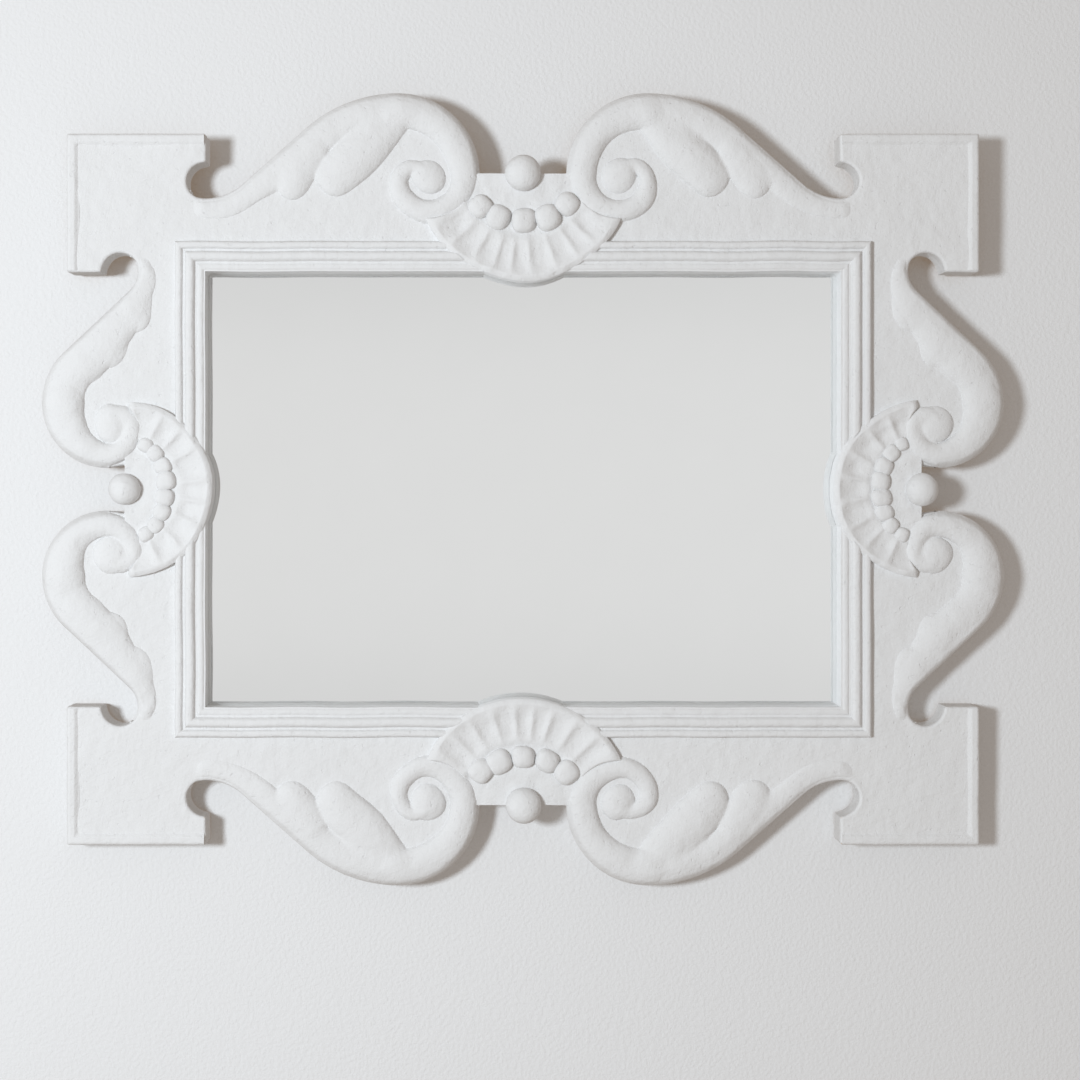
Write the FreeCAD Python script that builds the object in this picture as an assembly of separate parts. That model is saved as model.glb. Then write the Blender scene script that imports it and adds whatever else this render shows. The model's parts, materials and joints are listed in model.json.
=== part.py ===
import FreeCAD, Part
import math
import os

from FreeCAD import Vector

# A wall mirror in a hand-modelled white plaster frame. Millimetres, +X right, +Z up, the glass faces -Y.
# The origin is the middle of the back, in the plane that lies against the wall.

# Sight opening and ground boards
sight_width = 810.0
sight_height = 556.0
block_width = 174.0
block_height = 173.0
board_thickness = 40.0
lap_depth = 20.0

# Glass, backing board and their stepped rebate
glass_thickness = 4.0
backing_thickness = 6.0
glass_lap = 12.0
backing_lap = 32.0
panel_clearance = 1.0

# Moulding round the sight opening, widths from the glass outwards and heights above the boards
moulding_width = 38.0
slip_width = 10.0
torus_width = 15.0
groove_width = 0.8
slip_height = 8.0
groove_height = 6.0
torus_height = 12.0
band_height = 10.0
arris = 1.5

# Raised border on the two outer edges of each corner block
border_width = 12.0
border_height = 3.5

# Hollows between the blocks and the scrolls, and the crown's share of the bends on the slope between them
hollow_radius = 25.0
crown_share = 0.7

# Relief of the scrolls
scroll_inset = 1.0
scroll_rise = 13.0
scroll_softness = 22.0
scroll_facet_count = 6
limb_slice_count = 20
quarter_slice_count = 4
volute_quarter_count = 3
volute_shrink = 0.86
band_shrink = 0.82
eye_rise = 9.0

# Shells, beads and pearls
disc_height = 5.0
bead_seat_height = 4.0
fan_height = 8.0
rim_height = 14.0
rim_width = 8.0
rim_chamfer = 3.0
flute_depth = 5.0
bead_lift = 2.0
pearl_radius = 23.0
pearl_lift = 3.0
nose_gap = 1.0
nose_clearance = 0.3

# Countersunk screws: the backing board's, and the ones that pull the corner laps together
backing_screw_radius = 1.75
backing_screw_length = 16.0
backing_screw_count_across = 4
backing_screw_count_up = 3
lap_screw_radius = 2.0
lap_screw_length = 32.0
lap_screw_margin = 30.0
screw_sink = 0.3
screw_clearance = 0.1

# Ring hangers, let into pockets in the backs of the side boards
hanger_offset = 63.0
hanger_height = 150.0
pocket_depth = 9.5
pocket_margin = 6.0
strap_width = 18.0
strap_length = 62.0
strap_thickness = 1.5
ring_wire_radius = 2.0
ring_half_width = 14.0
ring_leg = 14.0
ring_corner = 4.0
ring_fit = 0.05
ring_rest_gap = 0.5
knuckle_wall = 1.5
hanger_screw_radius = 1.75
hanger_screw_length = 16.0
hanger_screw_drops = (38.0, 54.0)
pan_head_radius = 4.0
pan_head_height = 2.0

# Levels worked out from the sizes above, all along Y
back = 0.0
front = back - board_thickness
glass_back = back - backing_thickness
glass_front = glass_back - glass_thickness
pocket_floor = back - pocket_depth
reach = 4 * (sight_width + sight_height)


def block(low_x, low_y, low_z, high_x, high_y, high_z):
    """A box between two corners."""
    return Part.makeBox(high_x - low_x, high_y - low_y, high_z - low_z, Vector(low_x, low_y, low_z))


def through_hole(x, z, radius):
    """A cylinder along Y that runs right through the frame."""
    return Part.makeCylinder(radius, reach, Vector(x, -reach / 2, z), Vector(0, 1, 0))


def mirrored(shape, normal):
    """The shape seen in a plane through the origin."""
    return shape.mirror(Vector(0, 0, 0), normal)


def turned(shape, degrees):
    """A copy turned about the Y axis, which carries the top side round to the others."""
    copy = shape.copy()
    copy.rotate(Vector(0, 0, 0), Vector(0, 1, 0), degrees)
    return copy


class Pen:
    """Draws straight runs and tangent arcs in the plane of the frame. A left turn is positive."""

    def __init__(self, a, b, heading):
        self.a = a
        self.b = b
        self.heading = heading
        self.runs = []

    def ahead(self, run, share):
        """Point and heading a share of the way along a run."""
        a, b, heading, length, angle = run
        if angle == 0:
            return a + share * length * math.cos(heading), b + share * length * math.sin(heading), heading
        radius = length / abs(angle)
        side = math.copysign(math.pi / 2, angle)
        centre_a = a + radius * math.cos(heading + side)
        centre_b = b + radius * math.sin(heading + side)
        now = heading + share * angle
        return centre_a - radius * math.cos(now + side), centre_b - radius * math.sin(now + side), now

    def add(self, length, angle=0.0):
        """One more run of this length, turning by an angle."""
        run = (self.a, self.b, self.heading, length, angle)
        self.runs.append(run)
        self.a, self.b, self.heading = self.ahead(run, 1.0)

    def turn(self, radius, angle):
        """One more arc."""
        self.add(radius * abs(angle), angle)

    def length(self):
        """Length drawn so far."""
        return sum(run[3] for run in self.runs)

    def at(self, distance):
        """Point and heading at a distance from the start."""
        for run in self.runs[:-1]:
            if distance <= run[3]:
                return self.ahead(run, distance / run[3])
            distance -= run[3]
        return self.ahead(self.runs[-1], min(distance / self.runs[-1][3], 1.0))


class Bay:
    """The ornament of one side: a runs along the side from its middle, b outwards from the mirror's centre."""

    def __init__(self, corner, sight_edge, block_size, far_block, flat_rise, gap, volute_radius, volute_lift,
                 hollow_drop, steepness, first_radius, limb_widths, neck_width, eye_radius, eye_shift,
                 shell_radius, flute_count, fan_spread, bead_count, bead_pitch, bead_radius, bead_arc):
        self.corner = corner
        self.sight_edge = sight_edge
        self.block_edge = sight_edge + block_size
        self.far_block = far_block
        self.flat_edge = sight_edge + flat_rise
        self.volute_radius = volute_radius
        self.volute_a = gap / 2 + volute_radius
        self.volute_b = self.flat_edge + volute_lift
        self.volute_lift = volute_lift
        self.hollow_b = self.block_edge - hollow_drop
        self.steepness = steepness
        self.first_radius = first_radius
        self.limb_widths = limb_widths
        self.neck_width = neck_width
        self.eye_radius = eye_radius
        self.eye_shift = eye_shift
        self.shell_radius = shell_radius
        self.flute_count = flute_count
        self.fan_spread = math.radians(fan_spread)
        self.bead_count = bead_count
        self.bead_pitch = math.radians(bead_pitch)
        self.bead_radius = bead_radius
        self.bead_arc = bead_arc

    def limb(self):
        """The slope from the hollow up to the crown: a valley arc, a straight run and a crown arc.

        A steepness of 1 would be a straight slope, and 2 would leave no straight run.
        """
        along = self.corner - self.volute_a
        rise = self.volute_b + self.volute_radius - (self.hollow_b - hollow_radius)
        slope = self.steepness * math.atan2(rise, along)
        radii = (along * math.tan(slope) - rise) / (1 / math.cos(slope) - 1)
        pen = Pen(self.corner, self.hollow_b - hollow_radius, math.pi)
        pen.turn((1 - crown_share) * radii, -slope)
        pen.add((along - radii * math.sin(slope)) / math.cos(slope))
        pen.turn(crown_share * radii, slope)
        return pen

    def outline(self):
        """The limb, carried on round the volute to the flat edge under the pearl."""
        pen = self.limb()
        pen.turn(self.volute_radius, math.pi / 2 + math.asin(self.volute_lift / self.volute_radius))
        return pen

    def volute_middle(self):
        """Middle of the volute's first inner quarter turn."""
        return self.volute_a - self.volute_radius + self.first_radius, self.volute_b

    def nearest_flat(self):
        """How far from the middle the flat edge reaches."""
        return self.outline().a


def run_edge(pen, run, side):
    """One run as an edge on the boards' front, on the right (+1) or left (-1) of the middle."""
    places = [pen.ahead(run, share) for share in (0.0, 0.5, 1.0)]
    points = [Vector(side * a, front, b) for a, b, heading in places]
    if run[4] == 0:
        return Part.makeLine(points[0], points[2])
    return Part.Arc(*points).toShape()


def straight_edges(side, *corners):
    """Straight edges on the boards' front through a row of corners."""
    points = [Vector(side * a, front, b) for a, b in corners]
    return [Part.makeLine(start, end) for start, end in zip(points, points[1:])]


def board(bay, other, keeps_front):
    """A ground board: scrolled outline, half-lapped ends and the rebate for glass and backing."""
    edges = []
    for side in (1, -1):
        pen = bay.outline()
        edges += [run_edge(pen, run, side) for run in pen.runs]
        edges += straight_edges(side, (0, bay.flat_edge), (bay.nearest_flat(), bay.flat_edge))
        hollow = Pen(bay.corner, bay.hollow_b - hollow_radius, 0.0)
        hollow.turn(hollow_radius, math.pi)
        edges.append(run_edge(hollow, hollow.runs[0], side))
        edges += straight_edges(side, (bay.corner, bay.hollow_b + hollow_radius), (bay.corner, bay.block_edge),
                                (bay.far_block, bay.block_edge), (bay.far_block, bay.sight_edge),
                                (0, bay.sight_edge))
    face = Part.Face(Part.Wire(Part.__sortEdges__(edges)))
    solid = face.extrude(Vector(0, board_thickness, 0))
    lap_low = front + lap_depth if keeps_front else front
    lap_high = back if keeps_front else front + lap_depth
    cuts = []
    for side in (1, -1):
        lap = block(bay.corner, lap_low, bay.sight_edge, reach, lap_high, reach)
        cuts.append(lap if side > 0 else mirrored(lap, Vector(1, 0, 0)))
        cuts.append(through_hole(side * other.hollow_b, other.corner, hollow_radius))
    for lap, level in ((glass_lap, glass_front), (backing_lap, glass_back)):
        cuts.append(block(-bay.corner - lap, level, -reach, bay.corner + lap, reach, bay.sight_edge + lap))
    return solid.cut(cuts)


def moulding(bay):
    """Half a side's moulding: outer band, torus and slip, mitred at the corner and coped to the shell."""
    torus_low = slip_width + groove_width
    torus_high = torus_low + torus_width
    band_low = torus_high + groove_width
    steps = [(0, 0), (0, slip_height - arris), (arris, slip_height), (slip_width - arris, slip_height),
             (slip_width, groove_height), (torus_low, groove_height)]
    torus = [(torus_low, groove_height), ((torus_low + torus_high) / 2, torus_height),
             (torus_high, groove_height)]
    tail = [(torus_high, groove_height), (band_low, groove_height), (band_low + arris, band_height),
            (moulding_width - arris, band_height), (moulding_width, band_height - arris), (moulding_width, 0),
            (0, 0)]

    def place(point):
        return Vector(0, front - point[1], bay.sight_edge + point[0])

    edges = [Part.makeLine(place(low), place(high)) for low, high in zip(steps, steps[1:])]
    edges.append(Part.Arc(*[place(point) for point in torus]).toShape())
    edges += [Part.makeLine(place(low), place(high)) for low, high in zip(tail, tail[1:])]
    bar = Part.Face(Part.Wire(edges)).extrude(Vector(bay.corner + moulding_width, 0, 0))
    mitre = Part.makePolygon([Vector(bay.corner, -reach, bay.sight_edge), Vector(reach, -reach, bay.sight_edge),
                              Vector(reach, -reach, bay.sight_edge + reach - bay.corner),
                              Vector(bay.corner, -reach, bay.sight_edge)])
    beyond = Part.Face(mitre).extrude(Vector(0, 2 * reach, 0))
    return bar.cut([beyond, through_hole(0, bay.flat_edge, bay.shell_radius)])


def corner_border():
    """The raised border along the two outer edges of the top right block."""
    inner_x = sight_width / 2
    inner_z = sight_height / 2
    outer_x = inner_x + block_width
    outer_z = inner_z + block_height
    points = [(inner_x, outer_z), (outer_x, outer_z), (outer_x, inner_z), (outer_x - border_width, inner_z),
              (outer_x - border_width, outer_z - border_width), (inner_x, outer_z - border_width),
              (inner_x, outer_z)]
    wire = Part.makePolygon([Vector(x, front, z) for x, z in points])
    strip = Part.Face(wire).extrude(Vector(0, -border_height, 0))
    crest = [edge for edge in strip.Edges if edge.BoundBox.YMax < front - border_height / 2]
    return strip.makeFillet(arris, crest)


def smooth(values):
    """A smooth curve through evenly spaced values, as a function of the share of the way along."""
    curve = Part.BSplineCurve()
    curve.interpolate([Vector(place, value, 0) for place, value in enumerate(values)])
    span = curve.LastParameter - curve.FirstParameter
    return lambda share: curve.value(curve.FirstParameter + share * span).y


def relief_section(a, b, heading, width):
    """A slice of the scroll's band: half an ellipse in flats, standing on the board."""
    left = Vector(-math.sin(heading), 0, math.cos(heading))
    edge = Vector(a, front, b) + left * scroll_inset
    rise = scroll_rise * (1 - math.exp(-width / scroll_softness))
    points = []
    for corner in range(scroll_facet_count + 1):
        angle = math.pi * corner / scroll_facet_count
        points.append(edge + left * (width * (1 - math.cos(angle)) / 2) + Vector(0, -rise * math.sin(angle), 0))
    return Part.makePolygon(points + points[:1])


def scroll(bay):
    """One scroll casting: a lobed limb that swells to the crown, then a band that winds into a domed eye."""
    pen = bay.limb()
    limb_width = smooth(bay.limb_widths)
    sections = []
    for place in range(limb_slice_count + 1):
        share = place / limb_slice_count
        sections.append(relief_section(*pen.at(share * pen.length()), limb_width(share)))
    wind = Pen(pen.a, pen.b, pen.heading)
    wind.turn(bay.volute_radius, math.pi / 2)
    for quarter in range(volute_quarter_count):
        wind.turn(bay.first_radius * volute_shrink ** quarter, math.pi / 2)
    for quarter, run in enumerate(wind.runs):
        for place in range(1, quarter_slice_count + 1):
            turns = quarter + place / quarter_slice_count
            swell = (bay.limb_widths[-1] - bay.neck_width) * max(0.0, 1 - turns) ** 2
            width = swell + bay.neck_width * band_shrink ** max(0.0, turns - 1)
            sections.append(relief_section(*wind.ahead(run, place / quarter_slice_count), width))
    band = Part.makeLoft(sections, True, True)
    middle_a, middle_b = bay.volute_middle()
    ball = (bay.eye_radius ** 2 + eye_rise ** 2) / (2 * eye_rise)
    dome = Part.makeSphere(ball, Vector(middle_a + bay.eye_shift, front - eye_rise + ball, middle_b))
    dome = dome.common(block(-reach, -reach, -reach, reach, front, reach))
    return band.fuse(dome).removeSplitter()


def volute_room(bay):
    """The two round spaces that the volutes take out of the shell."""
    middle_a, middle_b = bay.volute_middle()
    return [through_hole(side * middle_a, middle_b, bay.first_radius) for side in (1, -1)]


def shell(bay):
    """A fluted half shell: plain disc, bead seat and fan, with a nose that drops in front of the glass."""
    seat_low = bay.bead_arc - bay.bead_radius
    seat_high = bay.bead_arc + bay.bead_radius
    rim = bay.shell_radius
    rim_low = rim - rim_width
    nose = glass_front - nose_gap - front
    profile = [(0, nose), (rim, nose), (rim, rim_chamfer - rim_height), (rim - rim_chamfer, -rim_height),
               (rim_low, -rim_height), (seat_high, -fan_height), (seat_high, -bead_seat_height),
               (seat_low, -bead_seat_height), (seat_low, -disc_height), (0, -disc_height), (0, nose)]
    wire = Part.makePolygon([Vector(radius, front + level, 0) for radius, level in profile])
    body = Part.Face(wire).revolve(Vector(0, 0, 0), Vector(0, 1, 0), 180)
    body.translate(Vector(0, 0, bay.flat_edge))
    body = body.cut(block(-reach, front, bay.sight_edge - nose_clearance, reach, reach, reach))
    body = body.cut(volute_room(bay))
    pitch = 2 * bay.fan_spread / bay.flute_count
    return body.cut([flute(bay, angle, pitch, seat_high, rim_low)
                     for angle in spread(bay.flute_count, bay.fan_spread)])


def flute(bay, angle, pitch, low, high):
    """A round-ended scoop that widens along a ray of the shell."""
    widen = math.tan(pitch / 2)
    half_low = low * widen
    far = high / (1 + widen)
    half_far = far * widen
    ray = Vector(math.sin(angle), 0, -math.cos(angle))
    slope = (rim_height - fan_height) / (high - low)

    def scoop(distance, half):
        radius = (half ** 2 + flute_depth ** 2) / (2 * flute_depth)
        level = front - fan_height - slope * (distance - low) - radius + flute_depth
        return radius, ray * distance + Vector(0, level, bay.flat_edge)

    radius_low, start = scoop(low, half_low)
    radius_far, end = scoop(far, half_far)
    cone = Part.makeCone(radius_low, radius_far, (end - start).Length, start, end - start)
    return cone.fuse(Part.makeSphere(radius_far, end))


def beads(bay):
    """The row of beads between the plain disc and the fan."""
    seat = front - bead_seat_height
    below = block(-reach, seat, -reach, reach, reach, reach)
    row = []
    for count in range(bay.bead_count):
        angle = (count - (bay.bead_count - 1) / 2) * bay.bead_pitch
        place = Vector(bay.bead_arc * math.sin(angle), seat - bead_lift,
                       bay.flat_edge - bay.bead_arc * math.cos(angle))
        row.append(Part.makeSphere(bay.bead_radius - bead_lift / 2, place).cut([below] + volute_room(bay)))
    return Part.makeCompound(row)


def pearl(bay):
    """The ball on the shell's flat edge, half of it standing clear of the board."""
    ball = Part.makeSphere(pearl_radius, Vector(0, front - disc_height - pearl_lift, bay.flat_edge))
    return ball.cut(block(-reach, front - disc_height, -reach, reach, reach, bay.flat_edge))


def countersunk(x, z, radius, length, level, grow=0.0):
    """A countersunk screw driven along -Y from a level, or its hole when grown."""
    head_radius = 2 * radius + grow
    top = Vector(x, level, z)
    head = Part.makeCone(head_radius, 0.0, head_radius, top, Vector(0, -1, 0))
    shank = Part.makeCylinder(radius + grow, length + grow, top, Vector(0, -1, 0))
    return head.fuse(shank).removeSplitter()


def pan_head(x, z, level, grow=0.0):
    """A pan head screw on a strap, or its hole when grown."""
    shank = Part.makeCylinder(hanger_screw_radius + grow, hanger_screw_length + grow, Vector(x, level, z),
                              Vector(0, -1, 0))
    if grow:
        return shank
    head = Part.makeCylinder(pan_head_radius, pan_head_height, Vector(x, level, z), Vector(0, 1, 0))
    rim = [edge for edge in head.Edges if edge.BoundBox.YMin > level + pan_head_height / 2]
    return shank.fuse(head.makeFillet(pan_head_height / 2, rim))


def spread(count, reach_each_way):
    """Evenly spaced places, half a space in from both ends."""
    return [reach_each_way * ((2 * place + 1) / count - 1) for place in range(count)]


def backing_screw_places():
    """Where the backing board is screwed down, in the margin outside the glass."""
    margin = (glass_lap + backing_lap) / 2
    x_edge = sight_width / 2 + margin
    z_edge = sight_height / 2 + margin
    places = [(x, side * z_edge) for x in spread(backing_screw_count_across, x_edge) for side in (1, -1)]
    places += [(side * x_edge, z) for z in spread(backing_screw_count_up, z_edge) for side in (1, -1)]
    return places


def lap_screw_places():
    """Four screws through each corner lap, clear of the rebate and of the block's edges."""
    x_low = sight_width / 2 + backing_lap + lap_screw_margin
    x_high = sight_width / 2 + block_width - lap_screw_margin
    z_low = sight_height / 2 + backing_lap + lap_screw_margin
    z_high = sight_height / 2 + block_height - lap_screw_margin
    return [(across * x, up * z) for across in (1, -1) for up in (1, -1)
            for x in (x_low, x_high) for z in (z_low, z_high)]


# Where a ring hanger sits: the middle line of its strap and the axis of its ring
hanger_x = sight_width / 2 + backing_lap + hanger_offset
ring_axis_y = pocket_floor + strap_thickness + ring_rest_gap + ring_wire_radius
ring_drop = ring_leg + ring_half_width


def depth_edges(solid):
    """The edges of a block that run along Y."""
    return [edge for edge in solid.Edges
            if edge.BoundBox.YLength > edge.BoundBox.XLength + edge.BoundBox.ZLength]


def hanger_pocket():
    """The pocket that the right hanger lies in, with room for its ring hanging down or turned up."""
    half = ring_half_width + ring_wire_radius + pocket_margin
    top = hanger_height + ring_drop + ring_wire_radius + pocket_margin
    low = hanger_height - strap_length - pocket_margin
    pocket = block(hanger_x - half, pocket_floor, low, hanger_x + half, reach, top)
    return pocket.makeFillet(pocket_margin, depth_edges(pocket))


def hanger_strap():
    """The right hanger's steel strap, with the knuckle that its ring turns in."""
    half = strap_width / 2
    bore = ring_wire_radius + ring_fit
    plate = block(hanger_x - half, pocket_floor, hanger_height - strap_length, hanger_x + half,
                  pocket_floor + strap_thickness, hanger_height)
    ends = [edge for edge in depth_edges(plate) if edge.BoundBox.ZMax < hanger_height]
    plate = plate.makeFillet(half / 2, ends)
    start = Vector(hanger_x - half, ring_axis_y, hanger_height)
    knuckle = Part.makeCylinder(bore + knuckle_wall, strap_width, start, Vector(1, 0, 0))
    holes = [pan_head(hanger_x, hanger_height - drop, pocket_floor + strap_thickness, screw_clearance)
             for drop in hanger_screw_drops]
    holes.append(Part.makeCylinder(bore, strap_width, start, Vector(1, 0, 0)))
    return plate.fuse(knuckle).cut(holes)


def hanger_ring():
    """The right hanger's D ring, hanging from its straight bar."""
    straight = ring_half_width - ring_corner
    pen = Pen(hanger_x - straight, hanger_height, 0.0)
    pen.add(2 * straight)
    pen.turn(ring_corner, -math.pi / 2)
    pen.add(ring_leg - ring_corner)
    pen.turn(ring_half_width, -math.pi)
    pen.add(ring_leg - ring_corner)
    pen.turn(ring_corner, -math.pi / 2)
    edges = [run_edge(pen, run, 1) for run in pen.runs]
    path = Part.Wire(edges)
    path.translate(Vector(0, ring_axis_y - front, 0))
    start = Vector(hanger_x - straight, ring_axis_y, hanger_height)
    profile = Part.Wire(Part.makeCircle(ring_wire_radius, start, Vector(1, 0, 0)))
    return path.makePipeShell([profile], True, False)


def on_both_sides(shape, name):
    """The right-hand shape and its mirror image on the left."""
    save(name + "_right", shape)
    save(name + "_left", mirrored(shape, Vector(1, 0, 0)))


def save(node, shape):
    """Write one node, with a line that says what is in it."""
    shape.exportStep(os.path.join("parts", node + ".step"))
    print(node, len(shape.Solids), "solids", round(sum(solid.Volume for solid in shape.Solids)), "mm3",
          "valid" if shape.isValid() else "NOT VALID")


top_bay = Bay(corner=sight_width / 2, sight_edge=sight_height / 2, block_size=block_height,
              far_block=sight_width / 2 + block_width, flat_rise=123.0, gap=116.0, volute_radius=101.0,
              volute_lift=0.0, hollow_drop=58.0, steepness=1.45, first_radius=62.0,
              limb_widths=(14, 24, 32, 47, 38, 74, 82, 85, 78, 68, 56), neck_width=28.0, eye_radius=28.0,
              eye_shift=4.0, shell_radius=136.0, flute_count=9, fan_spread=58.0, bead_count=5, bead_pitch=25.0,
              bead_radius=14.0, bead_arc=66.0)
side_bay = Bay(corner=sight_height / 2, sight_edge=sight_width / 2, block_size=block_width,
               far_block=sight_height / 2 + block_height, flat_rise=101.0, gap=60.0, volute_radius=80.0,
               volute_lift=24.0, hollow_drop=66.0, steepness=1.3, first_radius=46.0,
               limb_widths=(13, 35, 40, 37, 56, 46, 60, 60, 56, 50, 43), neck_width=24.0, eye_radius=21.0,
               eye_shift=5.0, shell_radius=112.0, flute_count=9, fan_spread=83.0, bead_count=8, bead_pitch=19.0,
               bead_radius=10.0, bead_arc=57.0)

os.makedirs("parts", exist_ok=True)

# Ground boards, drilled for the screws that go into them
strap_face = pocket_floor + strap_thickness
drillings = [countersunk(x, z, backing_screw_radius, backing_screw_length, back - screw_sink, screw_clearance)
             for x, z in backing_screw_places()]
drillings += [countersunk(x, z, lap_screw_radius, lap_screw_length, back - screw_sink, screw_clearance)
              for x, z in lap_screw_places()]
for side in (1, -1):
    drillings += [pan_head(side * hanger_x, hanger_height - drop, strap_face, screw_clearance)
                  for drop in hanger_screw_drops]
pockets = [hanger_pocket(), mirrored(hanger_pocket(), Vector(1, 0, 0))]
rail = board(top_bay, side_bay, True)
stile = board(side_bay, top_bay, False)
save("top_board", rail.cut(drillings))
save("bottom_board", turned(rail, 180).cut(drillings))
save("right_board", turned(stile, 90).cut(drillings + pockets))
save("left_board", turned(stile, 270).cut(drillings + pockets))

# Ornament of the four sides, each with the ends that lie at +a and -a
sides = (("top", top_bay, 0, ("right", "left")), ("right", side_bay, 90, ("lower", "upper")),
         ("bottom", top_bay, 180, ("left", "right")), ("left", side_bay, 270, ("upper", "lower")))
castings = {bay: (moulding(bay), scroll(bay), shell(bay), beads(bay), pearl(bay))
            for bay in (top_bay, side_bay)}
for name, bay, angle, ends in sides:
    strip, curl, fan, row, ball = castings[bay]
    for end, flip in zip(ends, (False, True)):
        for kind, half in (("moulding", strip), ("scroll", curl)):
            piece = mirrored(half, Vector(1, 0, 0)) if flip else half
            save("_".join((kind, name, end)), turned(piece, angle))
    save("shell_" + name, turned(fan, angle))
    save("beads_" + name, turned(row, angle))
    save("pearl_" + name, turned(ball, angle))

# Corner borders
border = corner_border()
on_both_sides(border, "corner_border_top")
on_both_sides(mirrored(border, Vector(0, 0, 1)), "corner_border_bottom")

# Glass and backing
half_x = sight_width / 2 + glass_lap - panel_clearance
half_z = sight_height / 2 + glass_lap - panel_clearance
save("mirror_glass", block(-half_x, glass_front, -half_z, half_x, glass_back, half_z))
half_x = sight_width / 2 + backing_lap - panel_clearance
half_z = sight_height / 2 + backing_lap - panel_clearance
save("backing_board", block(-half_x, glass_back, -half_z, half_x, back, half_z).cut(drillings))

# Fasteners and hangers
save("backing_screws", Part.makeCompound([
    countersunk(x, z, backing_screw_radius, backing_screw_length, back - screw_sink)
    for x, z in backing_screw_places()]))
save("lap_screws", Part.makeCompound([
    countersunk(x, z, lap_screw_radius, lap_screw_length, back - screw_sink) for x, z in lap_screw_places()]))
on_both_sides(hanger_strap(), "hanger_strap")
on_both_sides(hanger_ring(), "hanger_ring")
save("hanger_screws", Part.makeCompound([
    pan_head(side * hanger_x, hanger_height - drop, strap_face)
    for side in (1, -1) for drop in hanger_screw_drops]))
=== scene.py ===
import json
import logging
import math
from dataclasses import dataclass
from enum import Enum
from itertools import chain

import bpy
import numpy as np
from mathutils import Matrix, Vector
from mathutils.geometry import delaunay_2d_cdt


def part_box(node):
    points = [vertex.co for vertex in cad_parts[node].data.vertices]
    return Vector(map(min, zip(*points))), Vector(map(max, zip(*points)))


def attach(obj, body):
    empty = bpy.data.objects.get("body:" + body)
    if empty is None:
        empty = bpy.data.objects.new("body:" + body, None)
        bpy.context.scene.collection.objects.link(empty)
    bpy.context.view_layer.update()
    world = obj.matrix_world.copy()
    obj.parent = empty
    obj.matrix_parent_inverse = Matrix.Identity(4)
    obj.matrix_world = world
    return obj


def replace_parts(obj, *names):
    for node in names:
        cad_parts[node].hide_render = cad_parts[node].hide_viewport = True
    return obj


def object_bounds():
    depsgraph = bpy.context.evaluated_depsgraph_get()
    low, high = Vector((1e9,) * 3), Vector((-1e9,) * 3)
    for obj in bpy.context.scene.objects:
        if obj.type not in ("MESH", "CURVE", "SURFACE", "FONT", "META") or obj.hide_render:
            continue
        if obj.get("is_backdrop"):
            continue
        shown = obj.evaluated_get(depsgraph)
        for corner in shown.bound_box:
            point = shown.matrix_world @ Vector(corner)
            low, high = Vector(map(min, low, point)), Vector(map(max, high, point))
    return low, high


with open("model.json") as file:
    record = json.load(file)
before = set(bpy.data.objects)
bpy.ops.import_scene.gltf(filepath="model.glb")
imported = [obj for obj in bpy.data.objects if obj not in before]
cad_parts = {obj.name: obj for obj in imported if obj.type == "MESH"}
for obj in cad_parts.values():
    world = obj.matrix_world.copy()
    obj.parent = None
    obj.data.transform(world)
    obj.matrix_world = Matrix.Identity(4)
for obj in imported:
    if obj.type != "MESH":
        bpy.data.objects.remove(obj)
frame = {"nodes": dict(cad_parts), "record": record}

# A plaster wall mirror: the frame's plaster modelled over its solids, a wall, a camera and light.
# Metres, +X right, +Z up, +Y into the wall. On each side a runs along the side and b out from the centre.

LOG = logging.getLogger("plaster_mirror")
MM = 0.001
TINY = 1e-9
QUARTER = math.pi / 2
FEWEST_POINTS = 4
BOARD_FRONT = -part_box("top_board")[0].y
SKIN_FRONT = BOARD_FRONT + 1.2 * MM
SKIN_SEED, SCROLL_SEED, MOULDING_SEED, SHELL_SEED, BORDER_SEED, SCREW_SEED = 3, 100, 300, 500, 700, 41
SEED_STEP = 20
Colour = tuple[float, float, float, float]


class Side(Enum):
    """The four sides: a name, the cosine and sine of the turn from the top, and the ends at +a and -a."""

    TOP = ("top", 1, 0, ("right", "left"))
    RIGHT = ("right", 0, 1, ("lower", "upper"))
    BOTTOM = ("bottom", -1, 0, ("left", "right"))
    LEFT = ("left", 0, -1, ("upper", "lower"))

    def __init__(self, label: str, cosine: int, sine: int, ends: tuple[str, str]) -> None:
        """Keep the four values by name.

        Args:
            label: the side's name in node names.
            cosine: cosine of the turn that carries the top to this side.
            sine: sine of that turn.
            ends: names of the halves at +a and -a.
        """
        self.label = label
        self.cosine = cosine
        self.sine = sine
        self.ends = ends

    @property
    def is_long(self) -> bool:
        """Whether this is the top or the bottom."""
        return self.cosine != 0

    def node(self, kind: str, hand: int) -> str:
        """The name of a kind of node on the half at +a (hand 1) or -a (hand -1)."""
        return "_".join((kind, self.label, self.ends[0 if hand > 0 else 1]))

    def place(self, a: np.ndarray, height: np.ndarray, b: np.ndarray) -> np.ndarray:
        """Points in the frame: the turn x = c a + s b, z = c b - s a, with y = -height."""
        x, z = self.cosine * a + self.sine * b, self.cosine * b - self.sine * a
        return np.stack(np.broadcast_arrays(x, -height, z), -1)


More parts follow.
